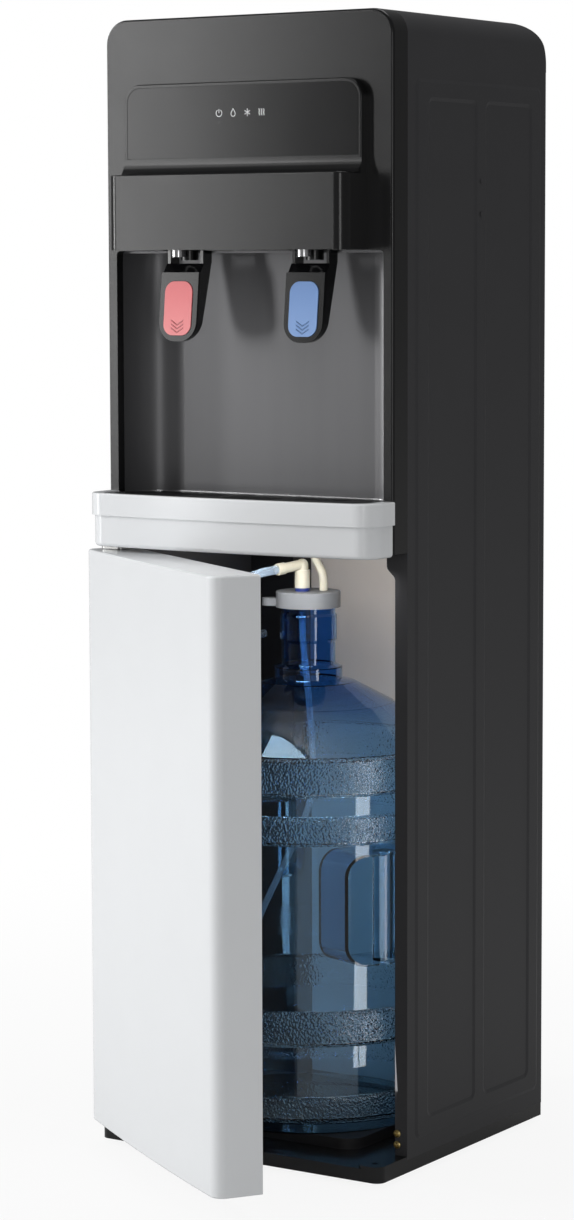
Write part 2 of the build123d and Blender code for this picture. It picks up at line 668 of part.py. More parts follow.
def face_y(z):
    """Front of the leaning cover at height z."""
    return FACE_TOP_Y - (COVER_TOP - z) * lean_slope


def leaning_slab(x, front, back, z_low, z_top):
    """Slab parallel to the cover's face, between two depths behind that face."""
    with BuildPart() as slab:
        with BuildSketch(side_plane(x - PADDLE_HALF)):
            with BuildLine():
                Polyline((face_y(z_low) + front, z_low), (face_y(z_top) + front, z_top),
                         (face_y(z_top) + back, z_top), (face_y(z_low) + back, z_low),
                         close=True)
            make_face()
        extrude(amount=2 * PADDLE_HALF)
    return slab.part


def front_outline(x, half, z_low, z_top, low_r, top_r=None):
    """Tall block whose front view is a plate with round bottom corners."""
    with BuildPart() as body:
        with BuildSketch(front_plane(FACE_Y + LINER_R)) as outline:
            with Locations((x, (z_low + z_top) / 2)):
                Rectangle(2 * half, z_top - z_low)
            fillet(outline.vertices().group_by(Axis.Y)[0], low_r)
            if top_r:
                fillet(outline.vertices().group_by(Axis.Y)[-1], top_r)
        extrude(amount=2 * LINER_R)
    return body.part


def paddle_arm(x):
    """Black core behind the cover, with two ears that turn on the pivot pin."""
    with BuildPart() as arm:
        with BuildSketch(side_plane(x - PADDLE_HALF)):
            with BuildLine():
                ThreePointArc(ARM_BACK_LOW, ARM_BACK_MIDDLE, ARM_BACK_TOP)
                Polyline(ARM_BACK_TOP, (EAR_FRONT_Y, ARM_BACK_TOP[1]), (CORE_SLOPE_Y, CORE_TOP),
                         (face_y(COVER_TOP) + COVER_THICK, COVER_TOP),
                         (face_y(ARM_BACK_LOW[1]) + COVER_THICK, ARM_BACK_LOW[1]),
                         ARM_BACK_LOW)
            make_face()
        extrude(amount=2 * PADDLE_HALF)
        add(front_outline(x, PADDLE_HALF, PADDLE_LOW, PIVOT_Z, PADDLE_BOTTOM_R),
            mode=Mode.INTERSECT)
        # ears
        for side in (-1, 1):
            inner = x + side * EAR_INNER
            outer = inner + side * EAR_THICK
            span = sorted((inner, outer))
            add(cross_bar(VALVE_Y, PIVOT_Z, VALVE_Y - EAR_FRONT_Y, span))
            add(block(span, (EAR_FRONT_Y, 2 * VALVE_Y - EAR_FRONT_Y), (CORE_TOP, PIVOT_Z)))
        # room for the valve between the ears, and the pin's hole
        add(block((x - EAR_INNER, x + EAR_INNER), (FACE_Y - LINER_R, FACE_Y + LINER_R),
                  (CORE_TOP, PIVOT_Z + VALVE_R)), mode=Mode.SUBTRACT)
        for side in (-1, 1):
            outside = x + side * (EAR_INNER + EAR_THICK)
            edge = x + side * (PADDLE_HALF + 1)
            add(block(sorted((outside, edge)), (FACE_Y - LINER_R, FACE_Y + LINER_R),
                      (CORE_TOP, PIVOT_Z)), mode=Mode.SUBTRACT)
        add(cross_bar(VALVE_Y, PIVOT_Z, PIVOT_R + RUN, (x - PADDLE_HALF, x + PADDLE_HALF)),
            mode=Mode.SUBTRACT)
    return arm.part


def paddle_cover(x):
    """Plate on the paddle's front with a pocket for the coloured pad."""
    with BuildPart() as pocket:
        add(leaning_slab(x, -COVER_THICK, PAD_DEPTH, PADDLE_LOW, COVER_TOP))
        add(front_outline(x, PAD_HALF + GAP, PAD_LOW - GAP, PAD_TOP + GAP, PAD_R, PAD_R),
            mode=Mode.INTERSECT)
    with BuildPart() as cover:
        add(leaning_slab(x, 0, COVER_THICK, PADDLE_LOW, COVER_TOP))
        add(front_outline(x, PADDLE_HALF, PADDLE_LOW, COVER_TOP, PADDLE_BOTTOM_R),
            mode=Mode.INTERSECT)
        add(pocket.part, mode=Mode.SUBTRACT)
    return cover.part


def paddle_pad(x):
    """Coloured pad, a little proud of the cover."""
    with BuildPart() as pad:
        add(leaning_slab(x, -PAD_PROUD, PAD_DEPTH, PADDLE_LOW, COVER_TOP))
        add(front_outline(x, PAD_HALF, PAD_LOW, PAD_TOP, PAD_R, PAD_R), mode=Mode.INTERSECT)
    return pad.part


for name, x in (("hot", -FAUCET_X), ("cold", FAUCET_X)):
    arm = paddle_arm(x)
    arm.label = f"{name}_paddle_arm"
    export_step(arm, f"parts/{name}_paddle_arm.step")
    cover = paddle_cover(x)
    cover.label = f"{name}_paddle_cover"
    export_step(cover, f"parts/{name}_paddle_cover.step")
    pad = paddle_pad(x)
    pad.label = f"{name}_pad"
    export_step(pad, f"parts/{name}_pad.step")

with BuildPart() as paddle_pins:
    for side in (-1, 1):
        reach = EAR_INNER + EAR_THICK
        x = side * FAUCET_X
        add(cross_bar(VALVE_Y, PIVOT_Z, PIVOT_R, (x - reach, x + reach)))
paddle_pins.part.label = "paddle_pins"
export_step(paddle_pins.part, "parts/paddle_pins.step")

SPRING_R = 3.6
with BuildPart() as paddle_springs:
    for side in (-1, 1):
        x = side * FAUCET_X
        for end in (-1, 1):
            span = sorted((x + end * (VALVE_R + GAP), x + end * (EAR_INNER - GAP)))
            add(cross_bar(VALVE_Y, PIVOT_Z, SPRING_R, span))
    for side in (-1, 1):
        x = side * FAUCET_X
        add(cross_bar(VALVE_Y, PIVOT_Z, PIVOT_R + RUN, (x - EAR_INNER, x + EAR_INNER)),
            mode=Mode.SUBTRACT)
paddle_springs.part.label = "paddle_springs"
export_step(paddle_springs.part, "parts/paddle_springs.step")

# ---------------------------------------------------------------- drip tray
TRAY_HALF = HALF + SIDE_PROUD
TRAY_TOP = 618.0
TRAY_STEP_Z = 597.5           # foot of the proud upper band
TRAY_LOW = 568.5
TRAY_CORNER_Y = FACE_Y - 38.0
TRAY_BULGE = 7.5
TRAY_R = 21.0
TRAY_INSET = 2.5              # the lower band stands in by this much
TRAY_EDGE_R = 1.5
TRAY_FOOT_R = 3.5
TRAY_WEB = 581.0              # underside of the web that carries the basin
BASIN_CLEAR = 1.0
TRAY_LEDGE = 13.3             # width of the tray's ledge beside the basin
BASIN_HALF = TRAY_HALF - TRAY_LEDGE
BASIN_BACK_Y = FACE_Y + 47.5
BASIN_BACK_R = 38.0
BASIN_CORNER_Y = FACE_Y - 33.0
BASIN_BULGE = 7.0
BASIN_R = 16.5
BASIN_LOW = NICHE_FLOOR + GAP
BASIN_TOP = 612.3
BASIN_RIM = 3.0               # rim beyond the basin's wall
BASIN_WALL = 2.0
TRIM_WIDTH = 1.5
TRIM_TOP = 616.8
GRILLE_TOP = 615.6
CUP_RING_R = 13.0             # round hollows in the grille under the nozzles
CUP_RING_DEPTH = 1.5
CUP_RING_Y = FACE_Y - 22.0
SLOT_LENGTH = 42.0
SLOT_WIDTH = 3.0
SLOT_PITCH = 8.0
SLOT_GROUP = 7


def tray_plan(inset, half, y_back, y_corner, bulge, front_r, back_r=0):
    """Plan with a bulging front: used for the tray, the basin, the grille and its trim."""
    half = half - inset
    y_corner = y_corner + inset
    with BuildSketch(Plane.XY) as plan:
        with BuildLine():
            Polyline((-half, y_corner), (-half, y_back), (half, y_back), (half, y_corner))
            ThreePointArc((half, y_corner), (0, y_corner - bulge), (-half, y_corner))
        make_face()
        fillet(plan.vertices().group_by(Axis.Y)[0], front_r - inset)
        if back_r:
            fillet(plan.vertices().group_by(Axis.Y)[-1], back_r - inset)
    return plan.sketch


def housing_plan(inset):
    """Outline of the white tray, standing in by inset."""
    return tray_plan(inset, TRAY_HALF, FACE_Y, TRAY_CORNER_Y, TRAY_BULGE, TRAY_R)


def basin_plan(inset):
    """Outline of the basin's rim, standing in by inset on every side."""
    return tray_plan(inset, BASIN_HALF, BASIN_BACK_Y - inset, BASIN_CORNER_Y, BASIN_BULGE,
                     BASIN_R, BASIN_BACK_R)


def prism(sketch, z_low, z_top):
    """Upright extrusion of a plan."""
    with BuildPart() as body:
        with BuildSketch(floor_plane(z_low)):
            add(sketch)
        extrude(amount=z_top - z_low)
    return body.part


def off_bezel(edge):
    """True for edges that don't lie against the bezel."""
    return edge.center().Y < FACE_Y - 0.5


with BuildPart() as drip_tray_housing:
    add(prism(housing_plan(TRAY_INSET), TRAY_LOW, TRAY_STEP_Z + TRAY_EDGE_R))
    fillet(drip_tray_housing.faces().sort_by(Axis.Z)[0].edges().filter_by(off_bezel),
           TRAY_FOOT_R)
    add(prism(housing_plan(0), TRAY_STEP_Z, TRAY_TOP))
    fillet(drip_tray_housing.faces().sort_by(Axis.Z)[-1].edges().filter_by(off_bezel),
           TRAY_EDGE_R)
    # well for the basin, open to the niche behind, and the hollow below it
    add(prism(tray_plan(-BASIN_CLEAR, BASIN_HALF, FACE_Y + BASIN_CLEAR, BASIN_CORNER_Y,
                        BASIN_BULGE, BASIN_R), TRAY_WEB + WALL, TRAY_TOP),
        mode=Mode.SUBTRACT)
    add(prism(tray_plan(TRAY_INSET + WALL, TRAY_HALF, FACE_Y - WALL, TRAY_CORNER_Y,
                        TRAY_BULGE, TRAY_R), TRAY_LOW, TRAY_WEB), mode=Mode.SUBTRACT)
drip_tray_housing.part.label = "drip_tray_housing"
export_step(drip_tray_housing.part, "parts/drip_tray_housing.step")

with BuildPart() as drip_basin:
    add(prism(basin_plan(BASIN_RIM), BASIN_LOW, BASIN_TOP))
    add(prism(basin_plan(0), BASIN_TOP - BASIN_WALL, BASIN_TOP))
    add(prism(basin_plan(BASIN_RIM + BASIN_WALL), BASIN_LOW + BASIN_WALL, BASIN_TOP),
        mode=Mode.SUBTRACT)
drip_basin.part.label = "drip_basin"
export_step(drip_basin.part, "parts/drip_basin.step")

with BuildPart() as drip_grille:
    add(prism(basin_plan(TRIM_WIDTH + GAP), BASIN_TOP + GAP, GRILLE_TOP))
    for side in (-1, 1):
        add(post(side * FAUCET_X, CUP_RING_Y, CUP_RING_R,
                 (GRILLE_TOP - CUP_RING_DEPTH, GRILLE_TOP)), mode=Mode.SUBTRACT)
    with BuildSketch(floor_plane(BASIN_TOP)):
        with Locations((0, FACE_Y)):
            with GridLocations(SLOT_PITCH, SLOT_PITCH, SLOT_GROUP, 1):
                SlotOverall(SLOT_LENGTH, SLOT_WIDTH, rotation=90)
        with Locations((-FAUCET_X, CUP_RING_Y), (FAUCET_X, CUP_RING_Y)):
            with GridLocations(2 * SLOT_WIDTH, SLOT_PITCH, 3, 1):
                SlotOverall(CUP_RING_R, SLOT_WIDTH, rotation=90)
        with Locations((-FAUCET_X, FACE_Y + SLOT_LENGTH / 2), (FAUCET_X, FACE_Y + SLOT_LENGTH / 2)):
            with GridLocations(SLOT_PITCH, SLOT_PITCH, SLOT_GROUP, 1):
                SlotOverall(SLOT_LENGTH / 2, SLOT_WIDTH, rotation=90)
    extrude(amount=TRAY_TOP - BASIN_TOP, mode=Mode.SUBTRACT)
drip_grille.part.label = "drip_grille"
export_step(drip_grille.part, "parts/drip_grille.step")

with BuildPart() as grille_trim:
    add(prism(basin_plan(0), BASIN_TOP + GAP, TRIM_TOP))
    add(prism(basin_plan(TRIM_WIDTH), BASIN_TOP, TRIM_TOP), mode=Mode.SUBTRACT)
grille_trim.part.label = "grille_trim"
export_step(grille_trim.part, "parts/grille_trim.step")

# ---------------------------------------------------------------- door
OPEN_ANGLE = 33.5             # how far the door stands open as stored
DOOR_HALF = HALF + SIDE_PROUD
DOOR_FRONT_Y = FACE_Y - 34.4  # closed position
DOOR_BACK_Y = FACE_Y + 10.5
DOOR_LOW = 23.3
DOOR_TOP = 564.3
DOOR_BULGE = 3.5
DOOR_R = 12.5
DOOR_EDGE_R = 2.0
DOOR_WALL = 3.0
LINER_RIM = 14.0              # flat rim of the inner panel
PAN_FLOOR_Y = FACE_Y - 26.0   # front side of the inner panel's floor
PAN_THICK = 2.0
LINER_FOOT = 1.0              # the pan runs down to the foot, under the bottle's edge
PAN_R = 8.0
PIN_BOSS_R = 8.0
PIN_BOSS_LENGTH = 12.0
PIN_REACH = 8.0               # how far a hinge pin enters the door
BRACKET_LOW = 564.8
BRACKET_TOP = 567.6
BRACKET_SPAN = (0.5, 27.0)    # upper hinge bracket, from the left side
BRACKET_X = (BRACKET_SPAN[0] - HALF, BRACKET_SPAN[1] - HALF)
BRACKET_FRONT_Y = FACE_Y - 18.0
BRACKET_TAB = 24.0
MAGNET_LENGTH = 60.0
MAGNET_WIDTH = 8.0
MAGNET_Z = 294.0

hinge_axis = Axis((PIVOT_X, PIVOT_Y, 0), (0, 0, 1))


def door_plan(inset):
    """Plan of the closed door, standing in by inset at the front and the sides."""
    half = DOOR_HALF - inset
    front = DOOR_FRONT_Y + inset
    with BuildSketch(Plane.XY) as plan:
        with BuildLine():
            Polyline((-half, front), (-half, DOOR_BACK_Y), (half, DOOR_BACK_Y), (half, front))
            ThreePointArc((half, front), (0, front - DOOR_BULGE), (-half, front))
        make_face()
        fillet(plan.vertices().group_by(Axis.Y)[0], DOOR_R - inset)
    return plan.sketch


def opened(shape):
    """A closed door's piece, turned about the hinge to where the door is stored."""
    return shape.rotate(hinge_axis, -OPEN_ANGLE)


with BuildPart() as closed_shell:
    add(prism(door_plan(0), DOOR_LOW, DOOR_TOP))
    rounded = closed_shell.edges().filter_by(
        lambda edge: edge.center().Y < DOOR_BACK_Y - 0.5
        and (edge.center().Z < DOOR_LOW + 0.5 or edge.center().Z > DOOR_TOP - 0.5))
    fillet(rounded, DOOR_EDGE_R)
    add(prism(door_plan(DOOR_WALL), DOOR_LOW + DOOR_WALL, DOOR_TOP - DOOR_WALL),
        mode=Mode.SUBTRACT)
    for z_span in ((DOOR_LOW, DOOR_LOW + PIN_BOSS_LENGTH), (DOOR_TOP - PIN_BOSS_LENGTH, DOOR_TOP)):
        add(post(PIVOT_X, PIVOT_Y, PIN_BOSS_R, z_span))
        add(post(PIVOT_X, PIVOT_Y, HINGE_PIN_R + RUN, z_span), mode=Mode.SUBTRACT)

with BuildPart() as door_shell:
    add(opened(closed_shell.part))
door_shell.part.label = "door_shell"
export_step(door_shell.part, "parts/door_shell.step")

rim_half = DOOR_HALF - DOOR_WALL - GAP
rim_low = DOOR_LOW + DOOR_WALL + GAP
rim_top = DOOR_TOP - DOOR_WALL - GAP
pan_left = PIVOT_X + PIN_BOSS_R + WALL      # the pan keeps clear of the hinge bosses
pan_right = rim_half - LINER_RIM
pan_top = rim_top - LINER_RIM


def pan_block(inset, low, y_front):
    """Round-cornered block open to the back of the door."""
    high = pan_top - inset
    with BuildPart() as body:
        with BuildSketch(front_plane(DOOR_BACK_Y)):
            with Locations(((pan_left + pan_right) / 2, (low + high) / 2)):
                RectangleRounded(pan_right - pan_left - 2 * inset, high - low, PAN_R - inset)
        extrude(amount=DOOR_BACK_Y - y_front)
    return body.part


with BuildPart() as closed_liner:
    add(block((-rim_half, rim_half), (DOOR_BACK_Y - PAN_THICK, DOOR_BACK_Y), (rim_low, rim_top)))
    add(pan_block(0, rim_low, PAN_FLOOR_Y))
    add(pan_block(PAN_THICK, rim_low + LINER_FOOT, PAN_FLOOR_Y + PAN_THICK),
        mode=Mode.SUBTRACT)
    # pocket for the magnet strip in the rim of the free edge
    add(block((pan_right + WALL, pan_right + WALL + MAGNET_WIDTH),
              (DOOR_BACK_Y - PAN_THICK, DOOR_BACK_Y),
              (MAGNET_Z - MAGNET_LENGTH / 2, MAGNET_Z + MAGNET_LENGTH / 2)),
        mode=Mode.SUBTRACT)

with BuildPart() as door_liner:
    add(opened(closed_liner.part))
door_liner.part.label = "door_liner"
export_step(door_liner.part, "parts/door_liner.step")

with BuildPart() as closed_magnet:
    add(block((pan_right + WALL + GAP, pan_right + WALL + MAGNET_WIDTH - GAP),
              (DOOR_BACK_Y - 2 * PAN_THICK, DOOR_BACK_Y),
              (MAGNET_Z - MAGNET_LENGTH / 2 + GAP, MAGNET_Z + MAGNET_LENGTH / 2 - GAP)))

with BuildPart() as door_magnet:
    add(opened(closed_magnet.part))
door_magnet.part.label = "door_magnet"
export_step(door_magnet.part, "parts/door_magnet.step")

with BuildPart() as hinge_pins:
    add(post(PIVOT_X, PIVOT_Y, HINGE_PIN_R, (BASE_TOP - WALL + GAP, DOOR_LOW + PIN_REACH)))
    add(post(PIVOT_X, PIVOT_Y, HINGE_PIN_R, (DOOR_TOP - PIN_REACH, BRACKET_TOP)))
hinge_pins.part.label = "hinge_pins"
export_step(hinge_pins.part, "parts/hinge_pins.step")

with BuildPart() as hinge_washer:
    add(post(PIVOT_X, PIVOT_Y, 2 * HINGE_PIN_R, (EAR_TOP, DOOR_LOW - GAP)))
    add(post(PIVOT_X, PIVOT_Y, HINGE_PIN_R + RUN, (EAR_TOP, DOOR_LOW)), mode=Mode.SUBTRACT)
hinge_washer.part.label = "hinge_washer"
export_step(hinge_washer.part, "parts/hinge_washer.step")

with BuildPart() as hinge_bracket:
    with BuildSketch(floor_plane(BRACKET_LOW)) as bracket_plan:
        with Locations(((BRACKET_X[0] + BRACKET_X[1]) / 2, (BRACKET_FRONT_Y + FRAME_Y) / 2)):
            Rectangle(BRACKET_X[1] - BRACKET_X[0], FRAME_Y - BRACKET_FRONT_Y)
        fillet(bracket_plan.vertices().group_by(Axis.Y)[0], 2 * HINGE_PIN_R)
    extrude(amount=BRACKET_TOP - BRACKET_LOW)
    add(block((BRACKET_X[0], -HALF + FLANGE), (FRAME_Y - 2 * SHEET, FRAME_Y),
              (BRACKET_LOW - BRACKET_TAB, BRACKET_TOP)))
    add(post(PIVOT_X, PIVOT_Y, HINGE_PIN_R + RUN, (BRACKET_LOW, BRACKET_TOP)),
        mode=Mode.SUBTRACT)
hinge_bracket.part.label = "hinge_bracket"
export_step(hinge_bracket.part, "parts/hinge_bracket.step")

# two brass screws in the foot of the right flange, with domed heads
STRIKE_INSET = 10.4
STRIKE_X = HALF - STRIKE_INSET
STRIKE_HEIGHTS = (30.8, 41.2)
STRIKE_R = 3.5
STRIKE_RISE = 2.2
STRIKE_CHAMFER = 1.1

with BuildPart() as flange_screws:
    with BuildSketch(front_plane(FRAME_Y)):
        with Locations(*[(STRIKE_X, z) for z in STRIKE_HEIGHTS]):
            Circle(STRIKE_R)
    extrude(amount=STRIKE_RISE)
    chamfer(flange_screws.faces().filter_by(Axis.Y).group_by(Axis.Y)[0].edges(), STRIKE_CHAMFER)
flange_screws.part.label = "flange_screws"
export_step(flange_screws.part, "parts/flange_screws.step")

# ---------------------------------------------------------------- water bottle
BOTTLE_R = 135.0
BOTTLE_WALL = 2.0
WAIST = 3.0                   # the wall stands in by this much between the bands
BAND_RAMP = 3.0               # height of the ramp beside each band
BANDS = ((46.0, 64.0), (116.0, 143.5), (302.0, 324.0), (347.0, 377.5))
BASE_R = 115.0                # flat of the base
KNEE = (80.0, 417.0)          # knee of the shoulder, radius and height
SHOULDER_TOP = (44.0, 436.0)
COLLAR_R = 32.0
COLLAR_TOP = 450.0
NECK_R = 25.5
BEAD_R = 27.0
BEAD = (476.0, 498.0)
MOUTH_Z = 517.0
HANDLE_TURN = -21.0           # direction of the handle from +X, degrees
HANDLE_Z = (188.0, 288.0)
HANDLE_WIDTH = 92.0
HANDLE_REACH = 52.0           # how far the finger pocket goes in
HANDLE_POCKET_R = 18.0
GRIP_R = 11.0
GRIP_INSET = 3.0

handle_mid = sum(HANDLE_Z) / 2
handle_turn = radians(HANDLE_TURN)


def bottle_profile(inset):
    """Half section of the bottle as a face, on X (radius) and Z (height)."""
    points = [(0, BOTTLE_LOW), (BASE_R, BOTTLE_LOW)]
    for low, high in BANDS:
        if low > BANDS[0][0]:
            points.append((BOTTLE_R - WAIST, low - BAND_RAMP))
        points.append((BOTTLE_R, low))
        points.append((BOTTLE_R, high))
        if high < BANDS[-1][1]:
            points.append((BOTTLE_R - WAIST, high + BAND_RAMP))
    points += [KNEE, SHOULDER_TOP, (COLLAR_R, SHOULDER_TOP[1] + BAND_RAMP),
               (COLLAR_R, COLLAR_TOP), (NECK_R, COLLAR_TOP + BAND_RAMP),
               (NECK_R, BEAD[0] - BAND_RAMP), (BEAD_R, BEAD[0]), (BEAD_R, BEAD[1]),
               (NECK_R, BEAD[1] + BAND_RAMP), (NECK_R, MOUTH_Z), (0, MOUTH_Z)]
    mirrored = [(-x, z) for x, z in reversed(points) if x > 0]
    with BuildSketch(Plane.XZ) as section:
        with BuildLine():
            Polyline(*points, *mirrored, close=True)
        make_face()
        if inset:
            offset(amount=-inset, kind=Kind.INTERSECTION, mode=Mode.REPLACE)
        with Locations((-BOTTLE_R, MOUTH_Z / 2)):
            Rectangle(2 * BOTTLE_R, 2 * MOUTH_Z, mode=Mode.SUBTRACT)
    return section.sketch


def handle_pocket(growth):
    """Finger pocket beside the grip, as a block at the bottle's place."""
    with BuildPart() as pocket:
        with BuildSketch(Plane.YZ.offset(BOTTLE_R - HANDLE_REACH - growth)):
            with Locations((0, handle_mid)):
                RectangleRounded(HANDLE_WIDTH + 2 * growth,
                                 HANDLE_Z[1] - HANDLE_Z[0] + 2 * growth,
                                 HANDLE_POCKET_R + growth)
        extrude(amount=HANDLE_REACH + 2 * BOTTLE_WALL + growth)
    return pocket.part.rotate(Axis.Z, HANDLE_TURN)


grip_reach = BOTTLE_R - WAIST - GRIP_R - GRIP_INSET

with BuildPart() as bottle_hollow:
    add(bottle_profile(BOTTLE_WALL))
    revolve(axis=Axis.Z)
    add(handle_pocket(BOTTLE_WALL), mode=Mode.SUBTRACT)

with BuildPart() as bottle_shape:
    add(bottle_profile(0))
    revolve(axis=Axis.Z)
    add(handle_pocket(0), mode=Mode.SUBTRACT)
    add(post(grip_reach * cos(handle_turn), grip_reach * sin(handle_turn), GRIP_R,
             (HANDLE_Z[0] - BOTTLE_WALL, HANDLE_Z[1] + BOTTLE_WALL)))
    add(bottle_hollow.part, mode=Mode.SUBTRACT)
    add(post(0, 0, NECK_R - BOTTLE_WALL, (COLLAR_TOP, MOUTH_Z)), mode=Mode.SUBTRACT)

with BuildPart() as bottle:
    with Locations((BOTTLE_X, BOTTLE_Y, 0)):
        add(bottle_shape.part)
bottle.part.label = "bottle"
export_step(bottle.part, "parts/bottle.step")

# ---------------------------------------------------------------- bottle cap and fittings
CAP_R = 30.5
CAP_LOW = 506.0
CAP_TOP = 521.0
CAP_EDGE_R = 1.2
TAB_TURN = 205.0              # direction of the lifting tab, degrees
TAB_REACH = 44.0
TAB_WIDTH = 14.0
TAB_Z = (507.0, 514.0)
ELBOW_X = -13.7
ELBOW_Y = FACE_Y + 112.0
COLLET_R = 7.0
COLLET_TOP = 524.2
ELBOW_R = 7.25
ELBOW_SHOULDER = 541.0
ARM_Z = 546.0
ARM_R = 4.8
ARM_NUT_R = 5.6
ARM_NUT = 8.0
ARM_LENGTH = 28.0
ARM_WAY = (-0.42, -0.9, -0.12)
PROBE_R = 3.0
VENT_FOOT = (1.0, FACE_Y + 126.0)

arm_way = Vector(*ARM_WAY).normalized()

with BuildPart() as bottle_cap:
    add(post(BOTTLE_X, BOTTLE_Y, CAP_R, (CAP_LOW, CAP_TOP)))
    fillet(bottle_cap.faces().sort_by(Axis.Z)[-1].edges(), CAP_EDGE_R)
    with BuildSketch(floor_plane(TAB_Z[0])):
        with Locations(Pos(BOTTLE_X, BOTTLE_Y) * Rot(0, 0, TAB_TURN)):
            with Locations((TAB_REACH / 2, 0)):
                SlotOverall(TAB_REACH, TAB_WIDTH)
    extrude(amount=TAB_Z[1] - TAB_Z[0])
    add(post(BOTTLE_X, BOTTLE_Y, NECK_R + GAP, (CAP_LOW, MOUTH_Z + GAP)), mode=Mode.SUBTRACT)
    add(post(ELBOW_X, ELBOW_Y, PROBE_R + GAP, (CAP_LOW, CAP_TOP)), mode=Mode.SUBTRACT)
bottle_cap.part.label = "bottle_cap"
export_step(bottle_cap.part, "parts/bottle_cap.step")

with BuildPart() as fitting_collet:
    add(post(ELBOW_X, ELBOW_Y, COLLET_R, (CAP_TOP, COLLET_TOP)))
    add(post(ELBOW_X, ELBOW_Y, PROBE_R + GAP, (CAP_TOP, COLLET_TOP)), mode=Mode.SUBTRACT)
fitting_collet.part.label = "fitting_collet"
export_step(fitting_collet.part, "parts/fitting_collet.step")

with BuildPart() as elbow_fitting:
    add(post(ELBOW_X, ELBOW_Y, ELBOW_R, (COLLET_TOP, ELBOW_SHOULDER)))
    add(post(ELBOW_X, ELBOW_Y, ARM_NUT_R, (ELBOW_SHOULDER, ARM_Z)))
    with Locations((ELBOW_X, ELBOW_Y, ARM_Z)):
        Sphere(ARM_NUT_R)
    with BuildSketch(Plane(origin=(ELBOW_X, ELBOW_Y, ARM_Z), z_dir=arm_way)):
        Circle(ARM_R)
    extrude(amount=ARM_LENGTH)
    nut_place = Vector(ELBOW_X, ELBOW_Y, ARM_Z) + arm_way * (ARM_LENGTH - ARM_NUT)
    with BuildSketch(Plane(origin=nut_place, z_dir=arm_way)):
        Circle(ARM_NUT_R)
    extrude(amount=ARM_NUT)
elbow_fitting.part.label = "elbow_fitting"
export_step(elbow_fitting.part, "parts/elbow_fitting.step")


def tube(points, radius, name):
    """Tube along straight runs joined by tangent arcs; prints its radii and volume."""
    route = [Vector(*point) for point in points]
    radii = []
    for before, here, after in zip(route, route[1:], route[2:]):
        run_in = here - before
        run_out = after - here
        half_turn = radians(run_in.get_angle(run_out) / 2)
        shorter = min(run_in.length, run_out.length)
        radii.append(TUBE_SHARE * shorter * cos(half_turn) / sin(half_turn))
    with BuildLine() as line:
        FilletPolyline(*route, radius=radii)
    path = line.wire()
    with BuildPart() as body:
        with BuildSketch(Plane(origin=path @ 0, z_dir=path % 0)):
            Circle(radius)
        sweep(path=path)
    expected = 3.141593 * radius**2 * path.length
    print(name, "length", round(path.length), "tightest", round(min(radii)), "volume ratio",
          round(body.part.volume / expected, 4))
    return body.part


TUBE_SHARE = 0.45             # share of the shorter run that an arc may use
HOSE_R = 4.1
DUCT_X = (-INNER + GAP, -104.0)
DUCT_FRONT_Y = FACE_Y + 235.0
HOSE_START = 24.0             # straight run out of the fitting

arm_end = Vector(ELBOW_X, ELBOW_Y, ARM_Z) + arm_way * ARM_LENGTH
hose_start = arm_end + arm_way * GAP
first_bend = arm_end + arm_way * HOSE_START

with BuildPart() as suction_hose:
    add(tube((
        tuple(hose_start),
        tuple(first_bend),
        (-58.0, FACE_Y + 44.0, 521.0),
        (-90.0, FACE_Y + 42.0, 500.0),
        (-118.0, FACE_Y + 62.0, 482.0),
        (-134.0, FACE_Y + 100.0, 470.0),
        (-139.0, FACE_Y + 150.0, 464.0),
        (-139.0, FACE_Y + 198.0, 462.0),
        (-139.0, DUCT_FRONT_Y - GAP, 462.0),
    ), HOSE_R, "suction_hose"))
suction_hose.part.label = "suction_hose"
export_step(suction_hose.part, "parts/suction_hose.step")

VENT_END = 592.0
with BuildPart() as vent_hose:
    add(tube((
        (*VENT_FOOT, CAP_TOP + GAP),
        (*VENT_FOOT, 537.0),
        (*VENT_TOP, 556.0),
        (*VENT_TOP, VENT_END),
    ), VENT_HOSE_R, "vent_hose"))
vent_hose.part.label = "vent_hose"
export_step(vent_hose.part, "parts/vent_hose.step")

with BuildPart() as probe_tube:
    add(tube((
        (ELBOW_X, ELBOW_Y, CAP_TOP),
        (ELBOW_X, ELBOW_Y, 476.0),
        (-6.0, FACE_Y + 114.0, 402.0),
        (-3.0, FACE_Y + 116.0, 335.0),
        (-22.0, FACE_Y + 121.0, 292.0),
        (-50.0, FACE_Y + 126.0, 246.0),
        (-78.0, FACE_Y + 129.0, 196.0),
        (-98.0, FACE_Y + 131.0, 142.0),
        (-104.0, FACE_Y + 131.0, 88.0),
        (-98.0, FACE_Y + 130.0, 42.0),
    ), PROBE_R, "probe_tube"))
probe_tube.part.label = "probe_tube"
export_step(probe_tube.part, "parts/probe_tube.step")

with BuildPart() as hose_duct:
    add(block(DUCT_X, (DUCT_FRONT_Y, BAY_REAR_Y - GAP), (BASE_TOP, SHELF_Z - GAP)))
    add(block((DUCT_X[0] + WALL, DUCT_X[1] - WALL), (DUCT_FRONT_Y + WALL, BAY_REAR_Y),
              (BASE_TOP, SHELF_Z)), mode=Mode.SUBTRACT)
hose_duct.part.label = "hose_duct"
export_step(hose_duct.part, "parts/hose_duct.step")

# ---------------------------------------------------------------- tanks
TANK_SHELF_Z = 785.0
TANK_Y = FACE_Y + 165.0
TANK_SHELF_Y = (FACE_Y + 62.0, FACE_Y + 262.0)
TANK_CHEEK_Y = (FACE_Y + 132.0, FACE_Y + 172.0)
TANK_CHEEK_TOP = 915.0
COLD_TANK_R = 62.0
COLD_TANK_TOP = 930.0
HOT_TANK_R = 48.0
HOT_TANK_TOP = 915.0
TANK_EDGE_R = 12.0
TANK_SEAM = 3.0               # how far the lid's seam stands out
TANK_SEAM_DROP = 26.0

